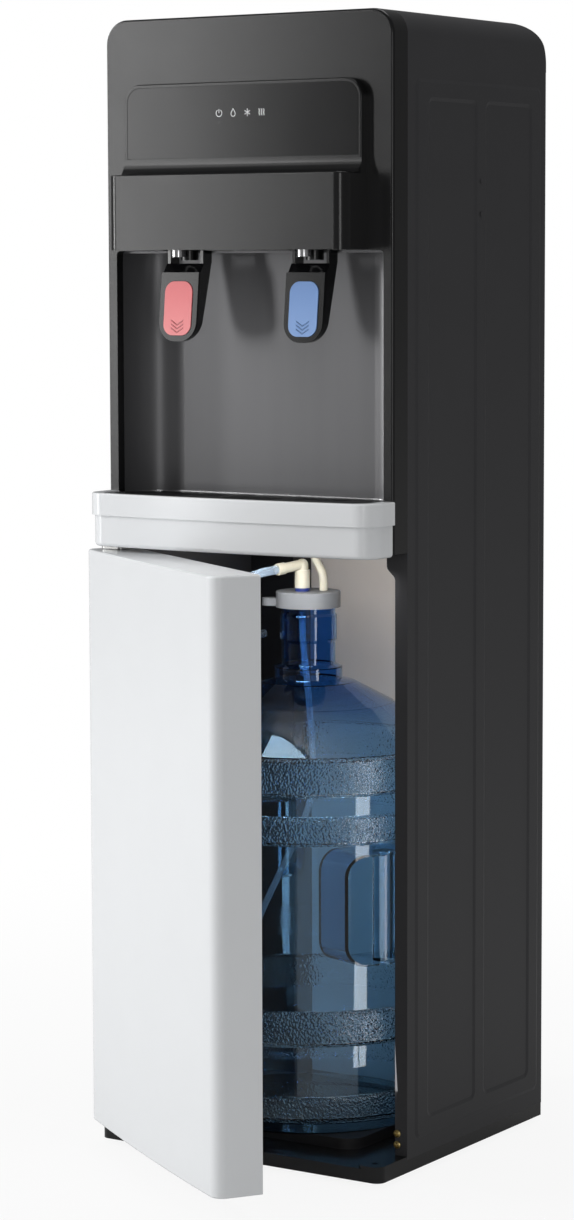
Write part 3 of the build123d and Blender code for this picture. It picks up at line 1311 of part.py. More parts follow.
with BuildPart() as tank_shelf:
    add(block((-INNER + GAP, INNER - GAP), TANK_SHELF_Y, (TANK_SHELF_Z - SHEET, TANK_SHELF_Z)))
    for side in (-1, 1):
        cheek = sorted((side * (INNER - GAP), side * (INNER - GAP - SHEET)))
        add(block(cheek, TANK_CHEEK_Y, (TANK_SHELF_Z, TANK_CHEEK_TOP)))
tank_shelf.part.label = "tank_shelf"
export_step(tank_shelf.part, "parts/tank_shelf.step")


def tank(x, radius, top):
    """Steel pot with a lid seam and an outlet pipe that meets the faucet's inlet."""
    with BuildPart() as body:
        add(post(x, TANK_Y, radius, (TANK_SHELF_Z, top)))
        fillet(body.edges().filter_by(GeomType.CIRCLE), TANK_EDGE_R)
        add(post(x, TANK_Y, radius + TANK_SEAM,
                 (top - TANK_SEAM_DROP, top - TANK_SEAM_DROP + TANK_SEAM)))
        with BuildSketch(front_plane(TANK_Y)):
            with Locations((x, INLET_Z)):
                Circle(INLET_R)
        extrude(amount=TANK_Y - INLET_END_Y - GAP)
    return body.part


with BuildPart() as cold_tank:
    add(tank(FAUCET_X, COLD_TANK_R, COLD_TANK_TOP))
cold_tank.part.label = "cold_tank"
export_step(cold_tank.part, "parts/cold_tank.step")

with BuildPart() as hot_tank:
    add(tank(-FAUCET_X, HOT_TANK_R, HOT_TANK_TOP))
hot_tank.part.label = "hot_tank"
export_step(hot_tank.part, "parts/hot_tank.step")

# ---------------------------------------------------------------- compressor and pump
POT_X = -58.0
POT_Y = FACE_Y + 190.0
POT_R = 52.0
POT_Z = (590.0, 728.0)
POT_EDGE_R = 24.0
POT_SEAM_Z = 664.0
POT_SEAM = 4.0
PLATE_X = 140.0
PLATE_Y = 92.0
PLATE_Z = (580.0, 583.0)
PLATE_R = 10.0
CUSHION_R = 8.0
CUSHION_SPREAD = (112.0, 64.0)

with BuildPart() as compressor:
    add(post(POT_X, POT_Y, POT_R, POT_Z))
    fillet(compressor.edges().filter_by(GeomType.CIRCLE), POT_EDGE_R)
    add(post(POT_X, POT_Y, POT_R + POT_SEAM, (POT_SEAM_Z, POT_SEAM_Z + POT_SEAM)))
    add(post(POT_X, POT_Y, POT_R - POT_EDGE_R, (PLATE_Z[1], POT_Z[0])))
    with BuildSketch(floor_plane(PLATE_Z[0])):
        with Locations((POT_X, POT_Y)):
            RectangleRounded(PLATE_X, PLATE_Y, PLATE_R)
    extrude(amount=PLATE_Z[1] - PLATE_Z[0])
    with BuildSketch(floor_plane(SHELF_TOP)):
        with Locations((POT_X, POT_Y)):
            with GridLocations(*CUSHION_SPREAD, 2, 2):
                Circle(CUSHION_R)
    extrude(amount=PLATE_Z[0] - SHELF_TOP)
compressor.part.label = "compressor"
export_step(compressor.part, "parts/compressor.step")

PUMP_X = (66.0, 112.0)
PUMP_Y = (FACE_Y + 92.0, FACE_Y + 128.0)
PUMP_TOP = 612.0
PUMP_MOTOR_R = 17.0
PUMP_MOTOR_END = FACE_Y + 188.0
PUMP_EDGE_R = 4.0
BARB_R = 4.0
BARB_LENGTH = 16.0

with BuildPart() as water_pump:
    add(block(PUMP_X, PUMP_Y, (SHELF_TOP, PUMP_TOP)))
    fillet(water_pump.edges().filter_by(Axis.Z), PUMP_EDGE_R)
    pump_mid = ((PUMP_X[0] + PUMP_X[1]) / 2, (SHELF_TOP + PUMP_TOP) / 2)
    with BuildSketch(front_plane(PUMP_MOTOR_END)):
        with Locations(pump_mid):
            Circle(PUMP_MOTOR_R)
    extrude(amount=PUMP_MOTOR_END - PUMP_Y[1])
    with BuildSketch(side_plane(PUMP_X[0] - BARB_LENGTH)):
        for share in (0.3, 0.7):
            with Locations((PUMP_Y[0] + share * (PUMP_Y[1] - PUMP_Y[0]), pump_mid[1])):
                Circle(BARB_R)
    extrude(amount=BARB_LENGTH)
water_pump.part.label = "water_pump"
export_step(water_pump.part, "parts/water_pump.step")

# ---------------------------------------------------------------- condenser on the back
COIL_Y = FACE_Y + 296.9
COIL_END_Y = FACE_Y + 270.0
WIRE_R = 0.7
WIRE_GAP = 0.1                # weld line between wire and tube
WIRE_COLUMNS = 12
WIRE_PITCH = 16.0
WIRE_OVER = 14.0              # wires run on past the first and last row
BRACKET_X = 96.0
BRACKET_ROWS = (1, COIL_ROWS - 2)
BRACKET_WIDTH = 8.0
BRACKET_HEIGHT = 10.0
BRACKET_FOOT = (12.0, 18.0)
BRACKET_BACK = 3.0            # bracket behind the middle of the tube

coil_route = [(-COIL_HALF, COIL_END_Y, COIL_LOW)]
for row in range(COIL_ROWS):
    turn = 1 if row % 2 else -1
    coil_route.append((turn * COIL_HALF, COIL_Y, COIL_LOW + row * COIL_PITCH))
    coil_route.append((-turn * COIL_HALF, COIL_Y, COIL_LOW + row * COIL_PITCH))
coil_route.append((-COIL_HALF, COIL_END_Y, COIL_TOP))

with BuildPart() as condenser_tube:
    add(tube(coil_route, COIL_R, "condenser_tube"))
condenser_tube.part.label = "condenser_tube"
export_step(condenser_tube.part, "parts/condenser_tube.step")

wire_offset = COIL_R + WIRE_GAP + WIRE_R
wire_span = (WIRE_COLUMNS - 1) * WIRE_PITCH / 2

with BuildPart() as condenser_wires:
    with BuildSketch(floor_plane(COIL_LOW - WIRE_OVER)):
        for column in range(WIRE_COLUMNS):
            for face in (-1, 1):
                with Locations((column * WIRE_PITCH - wire_span, COIL_Y + face * wire_offset)):
                    Circle(WIRE_R)
    extrude(amount=COIL_TOP - COIL_LOW + 2 * WIRE_OVER)
condenser_wires.part.label = "condenser_wires"
export_step(condenser_wires.part, "parts/condenser_wires.step")

with BuildPart() as condenser_brackets:
    for side in (-1, 1):
        for row in BRACKET_ROWS:
            x = side * BRACKET_X
            z = COIL_LOW + row * COIL_PITCH
            half = BRACKET_WIDTH / 2
            rise = BRACKET_HEIGHT / 2
            add(block((x - half, x + half), (REAR_Y, COIL_Y + BRACKET_BACK), (z - rise, z + rise)))
            add(block((x - BRACKET_FOOT[0] / 2, x + BRACKET_FOOT[0] / 2), (REAR_Y, REAR_Y + SHEET),
                      (z - BRACKET_FOOT[1] / 2, z + BRACKET_FOOT[1] / 2)))
            add(cross_bar(COIL_Y, z, COIL_R + RUN, (x - BRACKET_WIDTH, x + BRACKET_WIDTH)),
                mode=Mode.SUBTRACT)
condenser_brackets.part.label = "condenser_brackets"
export_step(condenser_brackets.part, "parts/condenser_brackets.step")

# ---------------------------------------------------------------- rear switches and fittings
SWITCH_FLANGE = (19.0, 26.0)
SWITCH_FLANGE_RISE = 2.0
SWITCH_DEPTH = 12.0           # body inside the cover
SWITCH_CELL = (12.0, 18.6)    # cell the rocker sits in
CELL_DEPTH = 10.4
ROCKER_R = 9.0
ROCKER_WIDTH = 11.4
ROCKER_AXIS_Y = REAR_Y - 3.0
ROCKER_BACK = 4.0             # rocker in front of its axis
ROCKER_CREST = (3.8, 6.0)     # outer face behind the axis, in the middle and at the ends
ROCKER_SWING = 12.0           # degrees between off and on
ROCKER_PIN_R = 1.2
ROCKER_PIN_REACH = 0.8

with BuildPart() as switch_frames:
    for x in SWITCH_PLACES:
        for size, span in ((SWITCH_BODY, (REAR_Y - SWITCH_DEPTH, REAR_Y)),
                           (SWITCH_FLANGE, (REAR_Y, REAR_Y + SWITCH_FLANGE_RISE))):
            add(block((x - size[0] / 2, x + size[0] / 2), span,
                      (SWITCH_Z - size[1] / 2, SWITCH_Z + size[1] / 2)))
        outer = REAR_Y + SWITCH_FLANGE_RISE
        add(block((x - SWITCH_CELL[0] / 2, x + SWITCH_CELL[0] / 2),
                  (REAR_Y - CELL_DEPTH, outer),
                  (SWITCH_Z - SWITCH_CELL[1] / 2, SWITCH_Z + SWITCH_CELL[1] / 2)),
            mode=Mode.SUBTRACT)
        reach = SWITCH_CELL[0] / 2 + ROCKER_PIN_REACH
        add(cross_bar(ROCKER_AXIS_Y, SWITCH_Z, ROCKER_PIN_R + RUN, (x - reach, x + reach)),
            mode=Mode.SUBTRACT)
switch_frames.part.label = "switch_frames"
export_step(switch_frames.part, "parts/switch_frames.step")


def rocker(x):
    """Rocker key with a shallow V face and two axle stubs, at rest in its off place."""
    with BuildPart() as key:
        with BuildSketch(side_plane(x - ROCKER_WIDTH / 2)):
            with BuildLine():
                Polyline(
                    (-ROCKER_BACK, -ROCKER_R),
                    (ROCKER_CREST[1], -ROCKER_R),
                    (ROCKER_CREST[0], 0),
                    (ROCKER_CREST[1], ROCKER_R),
                    (-ROCKER_BACK, ROCKER_R),
                    close=True,
                )
            make_face()
            Circle(ROCKER_R, mode=Mode.INTERSECT)
        extrude(amount=ROCKER_WIDTH)
        reach = SWITCH_CELL[0] / 2 + ROCKER_PIN_REACH - GAP
        add(cross_bar(0, 0, ROCKER_PIN_R, (x - reach, x + reach)))
    return key.part.rotate(Axis.X, -ROCKER_SWING / 2)


with BuildPart() as hot_switch:
    with Locations((0, ROCKER_AXIS_Y, SWITCH_Z)):
        add(rocker(SWITCH_PLACES[0]))
hot_switch.part.label = "hot_switch"
export_step(hot_switch.part, "parts/hot_switch.step")

with BuildPart() as cold_switch:
    with Locations((0, ROCKER_AXIS_Y, SWITCH_Z)):
        add(rocker(SWITCH_PLACES[1]))
cold_switch.part.label = "cold_switch"
export_step(cold_switch.part, "parts/cold_switch.step")

GLAND_FLANGE_R = 11.0
GLAND_STEPS = ((GLAND_R, -9.0, 0.0), (GLAND_FLANGE_R, 0.0, 4.0), (GLAND_R, 4.0, 11.0))
GLAND_BORE_R = 3.8

with BuildPart() as power_inlet:
    for radius, near, far in GLAND_STEPS:
        with BuildSketch(front_plane(REAR_Y + far)):
            with Locations(INLET_PLACE):
                Circle(radius)
        extrude(amount=far - near)
    with BuildSketch(front_plane(REAR_Y + GLAND_STEPS[2][2])):
        with Locations(INLET_PLACE):
            Circle(GLAND_BORE_R)
    extrude(amount=GLAND_STEPS[2][2] - GLAND_STEPS[0][1], mode=Mode.SUBTRACT)
power_inlet.part.label = "power_inlet"
export_step(power_inlet.part, "parts/power_inlet.step")

DRAIN_STEPS = ((DRAIN_R, -5.0, 0.0), (9.0, 0.0, 5.0), (13.0, 5.0, 17.0))
DRAIN_GRIPS = 18
DRAIN_GRIP_R = 1.1

with BuildPart() as drain_plug:
    for radius, near, far in DRAIN_STEPS:
        with BuildSketch(front_plane(REAR_Y + far)) as step:
            with Locations(DRAIN_PLACE):
                Circle(radius)
                if radius == DRAIN_STEPS[2][0]:
                    with PolarLocations(radius, DRAIN_GRIPS):
                        Circle(DRAIN_GRIP_R, mode=Mode.SUBTRACT)
        extrude(amount=far - near)
drain_plug.part.label = "drain_plug"
export_step(drain_plug.part, "parts/drain_plug.step")
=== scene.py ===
# %% [markdown]
# A bottom load water cooler, dressed for its portrait. The steel and plastic solids come ready
# made, in metres, with +Z up and the front towards -Y. This lesson gives them a camera, a studio,
# finishes, and the small pieces that are quicker to make here than in a solid modeller.

import math

import bmesh
import bpy
from mathutils import Matrix, Vector


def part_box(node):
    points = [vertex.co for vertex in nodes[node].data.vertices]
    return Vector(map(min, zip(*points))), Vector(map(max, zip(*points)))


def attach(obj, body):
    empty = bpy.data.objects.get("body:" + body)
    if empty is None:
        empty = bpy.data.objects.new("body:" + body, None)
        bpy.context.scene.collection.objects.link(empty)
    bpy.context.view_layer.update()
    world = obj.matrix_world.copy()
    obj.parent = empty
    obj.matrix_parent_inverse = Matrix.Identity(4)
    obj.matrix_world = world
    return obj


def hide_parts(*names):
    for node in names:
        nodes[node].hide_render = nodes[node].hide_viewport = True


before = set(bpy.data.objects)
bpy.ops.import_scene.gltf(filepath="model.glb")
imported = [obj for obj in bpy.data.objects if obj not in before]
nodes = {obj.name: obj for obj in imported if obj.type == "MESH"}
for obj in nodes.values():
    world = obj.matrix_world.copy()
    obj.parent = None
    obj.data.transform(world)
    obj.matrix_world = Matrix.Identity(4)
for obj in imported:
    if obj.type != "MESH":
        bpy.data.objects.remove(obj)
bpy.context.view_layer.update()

# %% [markdown]
# The camera stands well off to the right, a little below the cooler's cap, and looks slightly
# down. Its place and angles were worked out from the straight edges in the photograph. A matrix
# built from three directions is easier to trust than a set of Euler angles.

# %% Camera
EYE = Vector((1.71113, -2.60635, 0.83378))
TURN, TILT, ROLL = (math.radians(a) for a in (33.19, 5.95, -0.18))
FOCAL_PIXELS, LONG_SIDE = 3388.34, 1220     # both in pixels of the photograph
SENSOR = 36.0                               # millimetres, along the long side
SIGHT_ENDS = 50                             # metres

ahead = Vector((-math.sin(TURN) * math.cos(TILT),
                math.cos(TURN) * math.cos(TILT),
                -math.sin(TILT)))
level = Vector((math.cos(TURN), math.sin(TURN), 0))
upright = level.cross(ahead)
right = math.cos(ROLL) * level + math.sin(ROLL) * upright
up = math.cos(ROLL) * upright - math.sin(ROLL) * level

camera_data = bpy.data.cameras.new("portrait")
camera_data.sensor_width = SENSOR
camera_data.lens = FOCAL_PIXELS * SENSOR / LONG_SIDE
camera_data.clip_end = SIGHT_ENDS
camera = bpy.data.objects.new("portrait", camera_data)
facing = Matrix((right, up, -ahead)).transposed().to_4x4()
camera.matrix_world = Matrix.Translation(EYE) @ facing
bpy.context.scene.collection.objects.link(camera)
bpy.context.scene.camera = camera
print("lens", round(camera_data.lens, 2), "mm")

# %% [markdown]
# Shader maths reads best as ordinary sums. `Level` wraps a socket and turns +, - and * into Math
# nodes. `Finish` owns one material, and its `node` method adds any other node.

# %% Shader helpers
class Level:
    """A number that changes over a surface."""

    def __init__(self, finish, socket):
        self.finish, self.socket = finish, socket

    def math(self, operation, first, second):
        return self.finish.node("ShaderNodeMath", {"operation": operation}, {0: first, 1: second})

    def __add__(self, other):
        return self.math("ADD", self, other)

    def __sub__(self, other):
        return self.math("SUBTRACT", self, other)

    def __rsub__(self, other):
        return self.math("SUBTRACT", other, self)

    def __mul__(self, other):
        return self.math("MULTIPLY", self, other)

    __radd__, __rmul__ = __add__, __mul__

    def size(self):
        return self.math("ABSOLUTE", self, 0.0)

    def most(self, other):
        return self.math("MAXIMUM", self, other)

    def rise(self, low, high):
        """0 below low, 1 above high, smooth between."""
        return self.finish.node("ShaderNodeMapRange", {"interpolation_type": "SMOOTHSTEP"},
                                {"Value": self, "From Min": low, "From Max": high})

    def band(self, low, high, soft):
        """1 between low and high, with edges that fade from soft inside to soft outside."""
        return self.rise(low - soft, low + soft) * (1 - self.rise(high - soft, high + soft))


class Finish:
    """One material, with a Principled shader and constants set on its own sockets."""

    def __init__(self, name, **constants):
        self.material = bpy.data.materials.new(name)
        self.material.use_nodes = True
        self.tree = self.material.node_tree
        self.shader = self.tree.nodes["Principled BSDF"]
        for socket, value in constants.items():
            self.set(socket.replace("_", " "), value)
        self.place = self.node("ShaderNodeTexCoord", out="Object")

    def node(self, kind, settings=None, sockets=None, out=0):
        """Any node: its settings first, then the values or links of its sockets."""
        made = self.tree.nodes.new(kind)
        for name, value in (settings or {}).items():
            setattr(made, name, value)
        for name, value in (sockets or {}).items():
            self.join(value, made.inputs[name])
        return Level(self, made.outputs[out])

    def join(self, value, socket):
        if isinstance(value, Level):
            self.tree.links.new(value.socket, socket)
        elif socket.type == "RGBA":
            socket.default_value = (*value[:3], 1)
        else:
            socket.default_value = value

    def set(self, socket, value):
        self.join(value, self.shader.inputs[socket])

    def axis(self, name):
        return self.node("ShaderNodeSeparateXYZ", None, {0: self.place}, out=name)

    def noise(self, per_metre, detail=2.0, stretch=(1, 1, 1)):
        where = self.place
        if stretch != (1, 1, 1):
            where = self.node("ShaderNodeMapping", None, {"Vector": where, "Scale": stretch})
        return self.node("ShaderNodeTexNoise", None,
                         {"Vector": where, "Scale": per_metre, "Detail": detail})

    def blend(self, share, first, second):
        """First colour at share 0, second at 1. A Mix node's colours are in 6, in 7 and out 2."""
        return self.node("ShaderNodeMix", {"data_type": "RGBA"},
                         {0: share, 6: first, 7: second}, out=2)

    def bump(self, height, depth, strength=1.0):
        """A relief that is depth metres deep, fed to the shader's Normal."""
        relief = {"Height": height, "Distance": depth, "Strength": strength}
        self.set("Normal", self.node("ShaderNodeBump", None, relief, out="Normal"))


def shade(red, green, blue):
    """The colour that shows as these 0-255 values: the sRGB curve, turned round."""
    return tuple(((c / 255 + 0.055) / 1.055) ** 2.4 if c > 10 else c / 255 / 12.92
                 for c in (red, green, blue))


def times(colour, share):
    """The same hue, darker or lighter."""
    return tuple(c * share for c in colour)


print("a grey of 128 is", round(shade(128, 128, 128)[0], 3), "to a shader")

# %% [markdown]
# The studio is a white floor that keeps the cooler's shadow, a white surround, and large soft
# lamps. The camera sees the surround as white, also through the clear bottle. Glossy pieces see
# it dim between the lamps, because the black mouldings of the real cooler reflect almost nothing
# there. The lamps' level is plain, so a colour shows about as it is written.

# %% Floor and surround
bpy.context.scene.view_settings.view_transform = "Standard"


def flat_plate(name, corners):
    mesh = bpy.data.meshes.new(name)
    mesh.from_pydata(corners, [], [tuple(range(len(corners)))])
    plate = bpy.data.objects.new(name, mesh)
    bpy.context.scene.collection.objects.link(plate)
    return plate


REACH = 14.0                    # metres from the middle to each edge of the floor
PAPER_GLOW = 0.90               # how white the paper shows beside the cooler
GLOW_FROM, GLOW_TO = 0.25, 1.6  # metres from the middle, between which it turns fully white
floor = flat_plate("floor", [(-REACH, -REACH, 0), (REACH, -REACH, 0), (REACH, REACH, 0),
                             (-REACH, REACH, 0)])
paper = Finish("studio_paper", Base_Color=(0.62, 0.62, 0.62), Roughness=0.9)
paper.set("Specular IOR Level", 0.0)
glow = paper.node("ShaderNodeEmission", None, {"Color": (1, 1, 1), "Strength": 1.0})
sight = paper.node("ShaderNodeLightPath", out="Is Camera Ray").most(
    paper.node("ShaderNodeLightPath", out="Is Transmission Ray"))
far_off = paper.node("ShaderNodeVectorMath", {"operation": "LENGTH"}, {0: paper.place},
                     out="Value")
whiteness = PAPER_GLOW + far_off.rise(GLOW_FROM, GLOW_TO) * (1 - PAPER_GLOW)
whitened = paper.node("ShaderNodeMixShader", None,
                      {0: sight * whiteness, 1: Level(paper, paper.shader.outputs[0]), 2: glow})
paper.tree.links.new(whitened.socket, paper.tree.nodes["Material Output"].inputs["Surface"])
floor.data.materials.append(paper.material)

world = bpy.data.worlds.new("surround")
world.use_nodes = True
bpy.context.scene.world = world
AMBIENT = 0.42                  # what lights the cooler from all round
IN_GLOSS = 0.15                 # what a glossy surface sees between the lamps
sky = world.node_tree
path = sky.nodes.new("ShaderNodeLightPath")
seen = sky.nodes.new("ShaderNodeMath")
seen.operation = "MAXIMUM"
sky.links.new(path.outputs["Is Camera Ray"], seen.inputs[0])
sky.links.new(path.outputs["Is Transmission Ray"], seen.inputs[1])
strength = sky.nodes.new("ShaderNodeMapRange")
sky.links.new(seen.outputs[0], strength.inputs["Value"])
unseen = sky.nodes.new("ShaderNodeMapRange")
unseen.inputs["To Min"].default_value = AMBIENT
unseen.inputs["To Max"].default_value = IN_GLOSS
sky.links.new(path.outputs["Is Glossy Ray"], unseen.inputs["Value"])
sky.links.new(unseen.outputs[0], strength.inputs["To Min"])
surround = sky.nodes["Background"]
surround.inputs["Color"].default_value = (1, 1, 1, 1)
sky.links.new(strength.outputs[0], surround.inputs["Strength"])
print("surround lights at", AMBIENT, "and shows in gloss at", IN_GLOSS)

# %% [markdown]
# A lamp is a rectangle with a place, a point that it aims at, a width, a height and its watts.
# The tall narrow ones on the left draw the upright streaks on the black box. Two very small ones
# stand inside the bay, which would be dark behind the door. The upper one is left out of
# reflections, because the bottle's shoulder would show it as a white patch.

# %% Lamps
def soft_lamp(name, place, aim, width, height, power):
    data = bpy.data.lights.new(name, "AREA")
    data.shape, data.size, data.size_y, data.energy = "RECTANGLE", width, height, power
    lamp = bpy.data.objects.new(name, data)
    turned = (Vector(aim) - Vector(place)).to_track_quat("-Z", "Y").to_matrix().to_4x4()
    lamp.matrix_world = Matrix.Translation(place) @ turned
    bpy.context.scene.collection.objects.link(lamp)
    return lamp


soft_lamp("left_window", (-3.5, -1.5, 2.9), (0, 0, 0.9), 3.6, 2.6, 46)
soft_lamp("left_edge", (-3.05, -1.75, 1.5), (0, 0, 0.7), 0.34, 2.4, 56)
soft_lamp("left_strip", (-2.37, -3.09, 1.6), (0, 0, 0.9), 0.42, 2.6, 27)
soft_lamp("overhead", (0.2, 0.4, 3.6), (0, 0, 0.55), 2.0, 2.0, 34)
soft_lamp("right_front", (1.9, -2.9, 0.9), (0.02, 0.1, 0.32), 0.7, 1.1, 9)
bay_top = soft_lamp("bay_top", (0.04, -0.035, 0.556), (0.03, 0.16, 0.30), 0.18, 0.04, 0.44)
bay_top.visible_glossy = False
soft_lamp("bay_side", (0.139, -0.022, 0.30), (-0.02, 0.12, 0.29), 0.025, 0.44, 0.22)
print("lamps", len(bpy.data.lights))

# %% [markdown]
# The case is moulded and painted in one semi-matt charcoal. Its surface isn't flat: a fine grain
# breaks up the highlights, and a broader mottle varies how rough it is. Steel gets a softer,
# rounder orange peel than the moulded plastic does.

# %% Charcoal finishes
PATCHES_PER_METRE, PATCH_DETAIL = 18.0, 3.0
GRAIN_DETAIL, GRAIN_STRENGTH = 2.0, 0.6


def grained(name, colour, roughness, grain, depth, specular=0.5, mottle=0.06, stain=0.08):
    """Plain surface with a mottled roughness and a fine grain: its scale, and depth in metres."""
    made = Finish(name)
    made.set("Specular IOR Level", specular)
    patches = made.noise(PATCHES_PER_METRE, PATCH_DETAIL)
    made.set("Base Color", made.blend(patches, times(colour, 1 - stain), times(colour, 1 + stain)))
    made.set("Roughness", roughness - mottle / 2 + patches * mottle)
    made.bump(made.noise(grain, GRAIN_DETAIL), depth, GRAIN_STRENGTH)
    return made


charcoal_steel = grained("charcoal_steel", shade(56, 56, 58), 0.42, 700.0, 0.00008, 0.25)
charcoal_moulding = grained("charcoal_moulding", shade(18, 18, 19), 0.22, 1600.0, 0.00003, 0.45,
                            0.04)
charcoal_smooth = grained("charcoal_smooth", shade(18, 18, 19), 0.17, 500.0, 0.00001, 0.3, 0.03)
print("charcoal:", *(made.material.name for made in (charcoal_steel, charcoal_moulding,
                                                     charcoal_smooth)))

# %% [markdown]
# The door and the tray are glossy white mouldings. Real ones show a very slight waviness and
# hair-fine dust in the gloss. The niche lining is a satin silver-grey whose moulded sides carry
# faint upright streaks, so its noise is stretched along Z.

# %% White and silver finishes
white_gloss = grained("white_gloss", shade(223, 225, 227), 0.18, 22.0, 0.00003, 0.4, 0.04, 0.012)
white_gloss.set("Coat Roughness", 0.08)
white_gloss.set("Coat Weight", 0.12)

UPRIGHT_STREAKS = (6.0, 6.0, 0.25)      # many across, few along Z
niche_silver = Finish("niche_silver", Metallic=0.38)
streaks = niche_silver.noise(9.0, 4.0, UPRIGHT_STREAKS)
niche_silver.set("Base Color", niche_silver.blend(streaks, shade(92, 92, 94),
                                                  shade(99, 99, 101)))
niche_silver.set("Roughness", 0.30 + streaks * 0.04)
niche_silver.bump(niche_silver.noise(900.0, GRAIN_DETAIL), 0.00002, 0.5)

door_inner = grained("door_inner", shade(170, 164, 158), 0.45, 1100.0, 0.00005)
bay_beige = grained("bay_beige", shade(214, 206, 198), 0.5, 700.0, 0.00006)
rear_grey = grained("rear_grey", shade(112, 113, 116), 0.42, 700.0, 0.00007)
print("white", white_gloss.material.name, "silver", niche_silver.material.name)

# %% [markdown]
# The small plastics differ mostly in colour and gloss: matt for what stands in the dark, glossy
# for the paddles' arms and the lamps' lenses, rough all over for rubber. The elbow and the vent
# hose are milky, so light goes a few millimetres into them before it comes out again.

# %% Black, rubber and small plastic finishes
black_matt = grained("black_matt", shade(24, 24, 26), 0.55, 1300.0, 0.00006, 0.35)
black_gloss = grained("black_gloss", shade(16, 16, 18), 0.14, 400.0, 0.00001, 0.6, 0.03)
black_enamel = grained("black_enamel", shade(18, 18, 18), 0.22, 500.0, 0.00003)
rubber = grained("rubber", shade(26, 26, 26), 0.72, 1500.0, 0.00008, 0.3)
cap_grey = grained("cap_grey", shade(98, 100, 103), 0.42, 1500.0, 0.00004)
cream = grained("milky_cream", shade(164, 160, 146), 0.35, 900.0, 0.00003)
cream.set("Subsurface Weight", 0.25)
cream.set("Subsurface Radius", (0.004, 0.003, 0.002))   # metres, for red, green and blue
cream.set("Subsurface Scale", 1.0)
collet_blue = grained("collet_blue", shade(26, 38, 92), 0.35, 900.0, 0.00002)
lens_dark = grained("lens_dark", shade(6, 6, 7), 0.10, 400.0, 0.00001, 0.6, 0.02)
key_red = grained("key_red", shade(190, 34, 34), 0.28, 900.0, 0.00002)
key_green = grained("key_green", shade(30, 130, 62), 0.28, 900.0, 0.00002)
print("materials so far:", len(bpy.data.materials))

# %% [markdown]
# Brushed metal is one noise stretched along the brushing, feeding colour, roughness and bump.
# Plated steel has no direction, so its noise isn't stretched.

# %% Metals
LINES_PER_METRE, LINE_DETAIL = 420.0, 3.0
LINE_SHADE, LINE_ROUGHNESS, LINE_DEPTH = 0.9, 0.14, 0.00002


def brushed(name, colour, roughness, along):
    made = Finish(name, Metallic=1.0)
    lines = made.noise(LINES_PER_METRE, LINE_DETAIL, along)
    made.set("Base Color", made.blend(lines, times(colour, LINE_SHADE), colour))
    made.set("Roughness", roughness + lines * LINE_ROUGHNESS)
    made.bump(lines, LINE_DEPTH, 0.5)
    return made


nozzle_steel = brushed("nozzle_steel", shade(214, 214, 216), 0.16, (1, 1, 0.08))
trim_steel = brushed("trim_steel", shade(226, 226, 228), 0.14, (0.05, 1, 1))
zinc = brushed("zinc", shade(190, 190, 188), 0.30, (1, 1, 1))
stainless = brushed("stainless", shade(198, 198, 200), 0.26, (1, 1, 0.04))
brass = brushed("yellow_passivated", shade(206, 184, 122), 0.26, (1, 1, 1))
print("metals:", *(made.material.name for made in (nozzle_steel, trim_steel, zinc, stainless,
                                                   brass)))

# %% [markdown]
# The bottle is clear blue polycarbonate: it lets most light through, its bands are pebbled, and
# the wall between the bands is smooth, so the pebbling is masked by height. The neck is thicker,
# and its blue deeper. Most of the lamps' light passes the wall through Alpha, so that the bay
# behind the bottle is lit. The hoses are clear in the middle and closed towards their rims.

# %% Bottle and hoses
BOTTLE_BANDS = ((0.042, 0.066), (0.114, 0.146), (0.300, 0.326), (0.345, 0.379))   # foot, top
BAND_EDGE = 0.001
NECK_FROM, NECK_TO = 0.375, 0.43
PEBBLES_PER_METRE, PEBBLE_DEPTH = 520.0, 0.0012
SMOOTH, PEBBLY = 0.02, 0.10     # the wall's roughness, and what the pebbles add
LIGHT_PASSES = 0.82
bottle_blue = Finish("bottle_blue", Metallic=0.0, IOR=1.42)
bottle_blue.set("Transmission Weight", 1.0)
height = bottle_blue.axis("Z")
neck = height.rise(NECK_FROM, NECK_TO)
bottle_blue.set("Base Color", bottle_blue.blend(neck, shade(196, 228, 250),
                                                shade(112, 168, 226)))
pebbled = 0.0
for low, high in BOTTLE_BANDS:
    pebbled = height.band(low, high, BAND_EDGE) + pebbled
pebbles = bottle_blue.node("ShaderNodeTexVoronoi", {"feature": "SMOOTH_F1"},
                           {"Vector": bottle_blue.place, "Scale": PEBBLES_PER_METRE})
bottle_blue.bump((1 - pebbles) * pebbled, PEBBLE_DEPTH)
bottle_blue.set("Roughness", SMOOTH + pebbled * PEBBLY)
to_a_lamp = bottle_blue.node("ShaderNodeLightPath", out="Is Shadow Ray")
bottle_blue.set("Alpha", 1 - to_a_lamp * LIGHT_PASSES)

hose_clear = grained("hose_clear", shade(150, 168, 186), 0.12, 300.0, 0.00002, 1.0)
hose_clear.set("IOR", 1.7)
rim = hose_clear.node("ShaderNodeLayerWeight", None, {"Blend": 0.5}, out="Facing")
hose_clear.set("Alpha", 0.22 + rim * 0.6)
print("bottle bands", len(BOTTLE_BANDS))

# %% [markdown]
# The two pads are satin plastic, red for hot and blue for cold, a little darker towards the top.
# Near the foot of each are three low chevrons that say which way to press: ridges drawn by a
# little arithmetic on the distance from the pad's own middle, raised by a bump, and coloured
# darker as painted shade.

# %% Pads
PAD_LOW, PAD_HIGH = 0.765, 0.812                # metres above the floor
CHEVRON_FEET = (0.7650, 0.7684, 0.7718)
CHEVRON_WIDTH, CHEVRON_EDGE, CHEVRON_SLOPE = 0.0011, 0.0004, 0.62
CHEVRON_ENDS = (0.0062, 0.0070)                 # metres to each side, between which it fades
# How far the chevron ridges' colour is mixed towards a darker copy of the pad: painted shade.
CHEVRON_PAINTED_SHADE, CHEVRON_SHADE = 0.42, 0.45
PAD_ROUGHNESS, CHEVRON_POLISH = 0.34, 0.05
PAD_RELIEF, PAD_GRAIN = 0.0009, 0.04


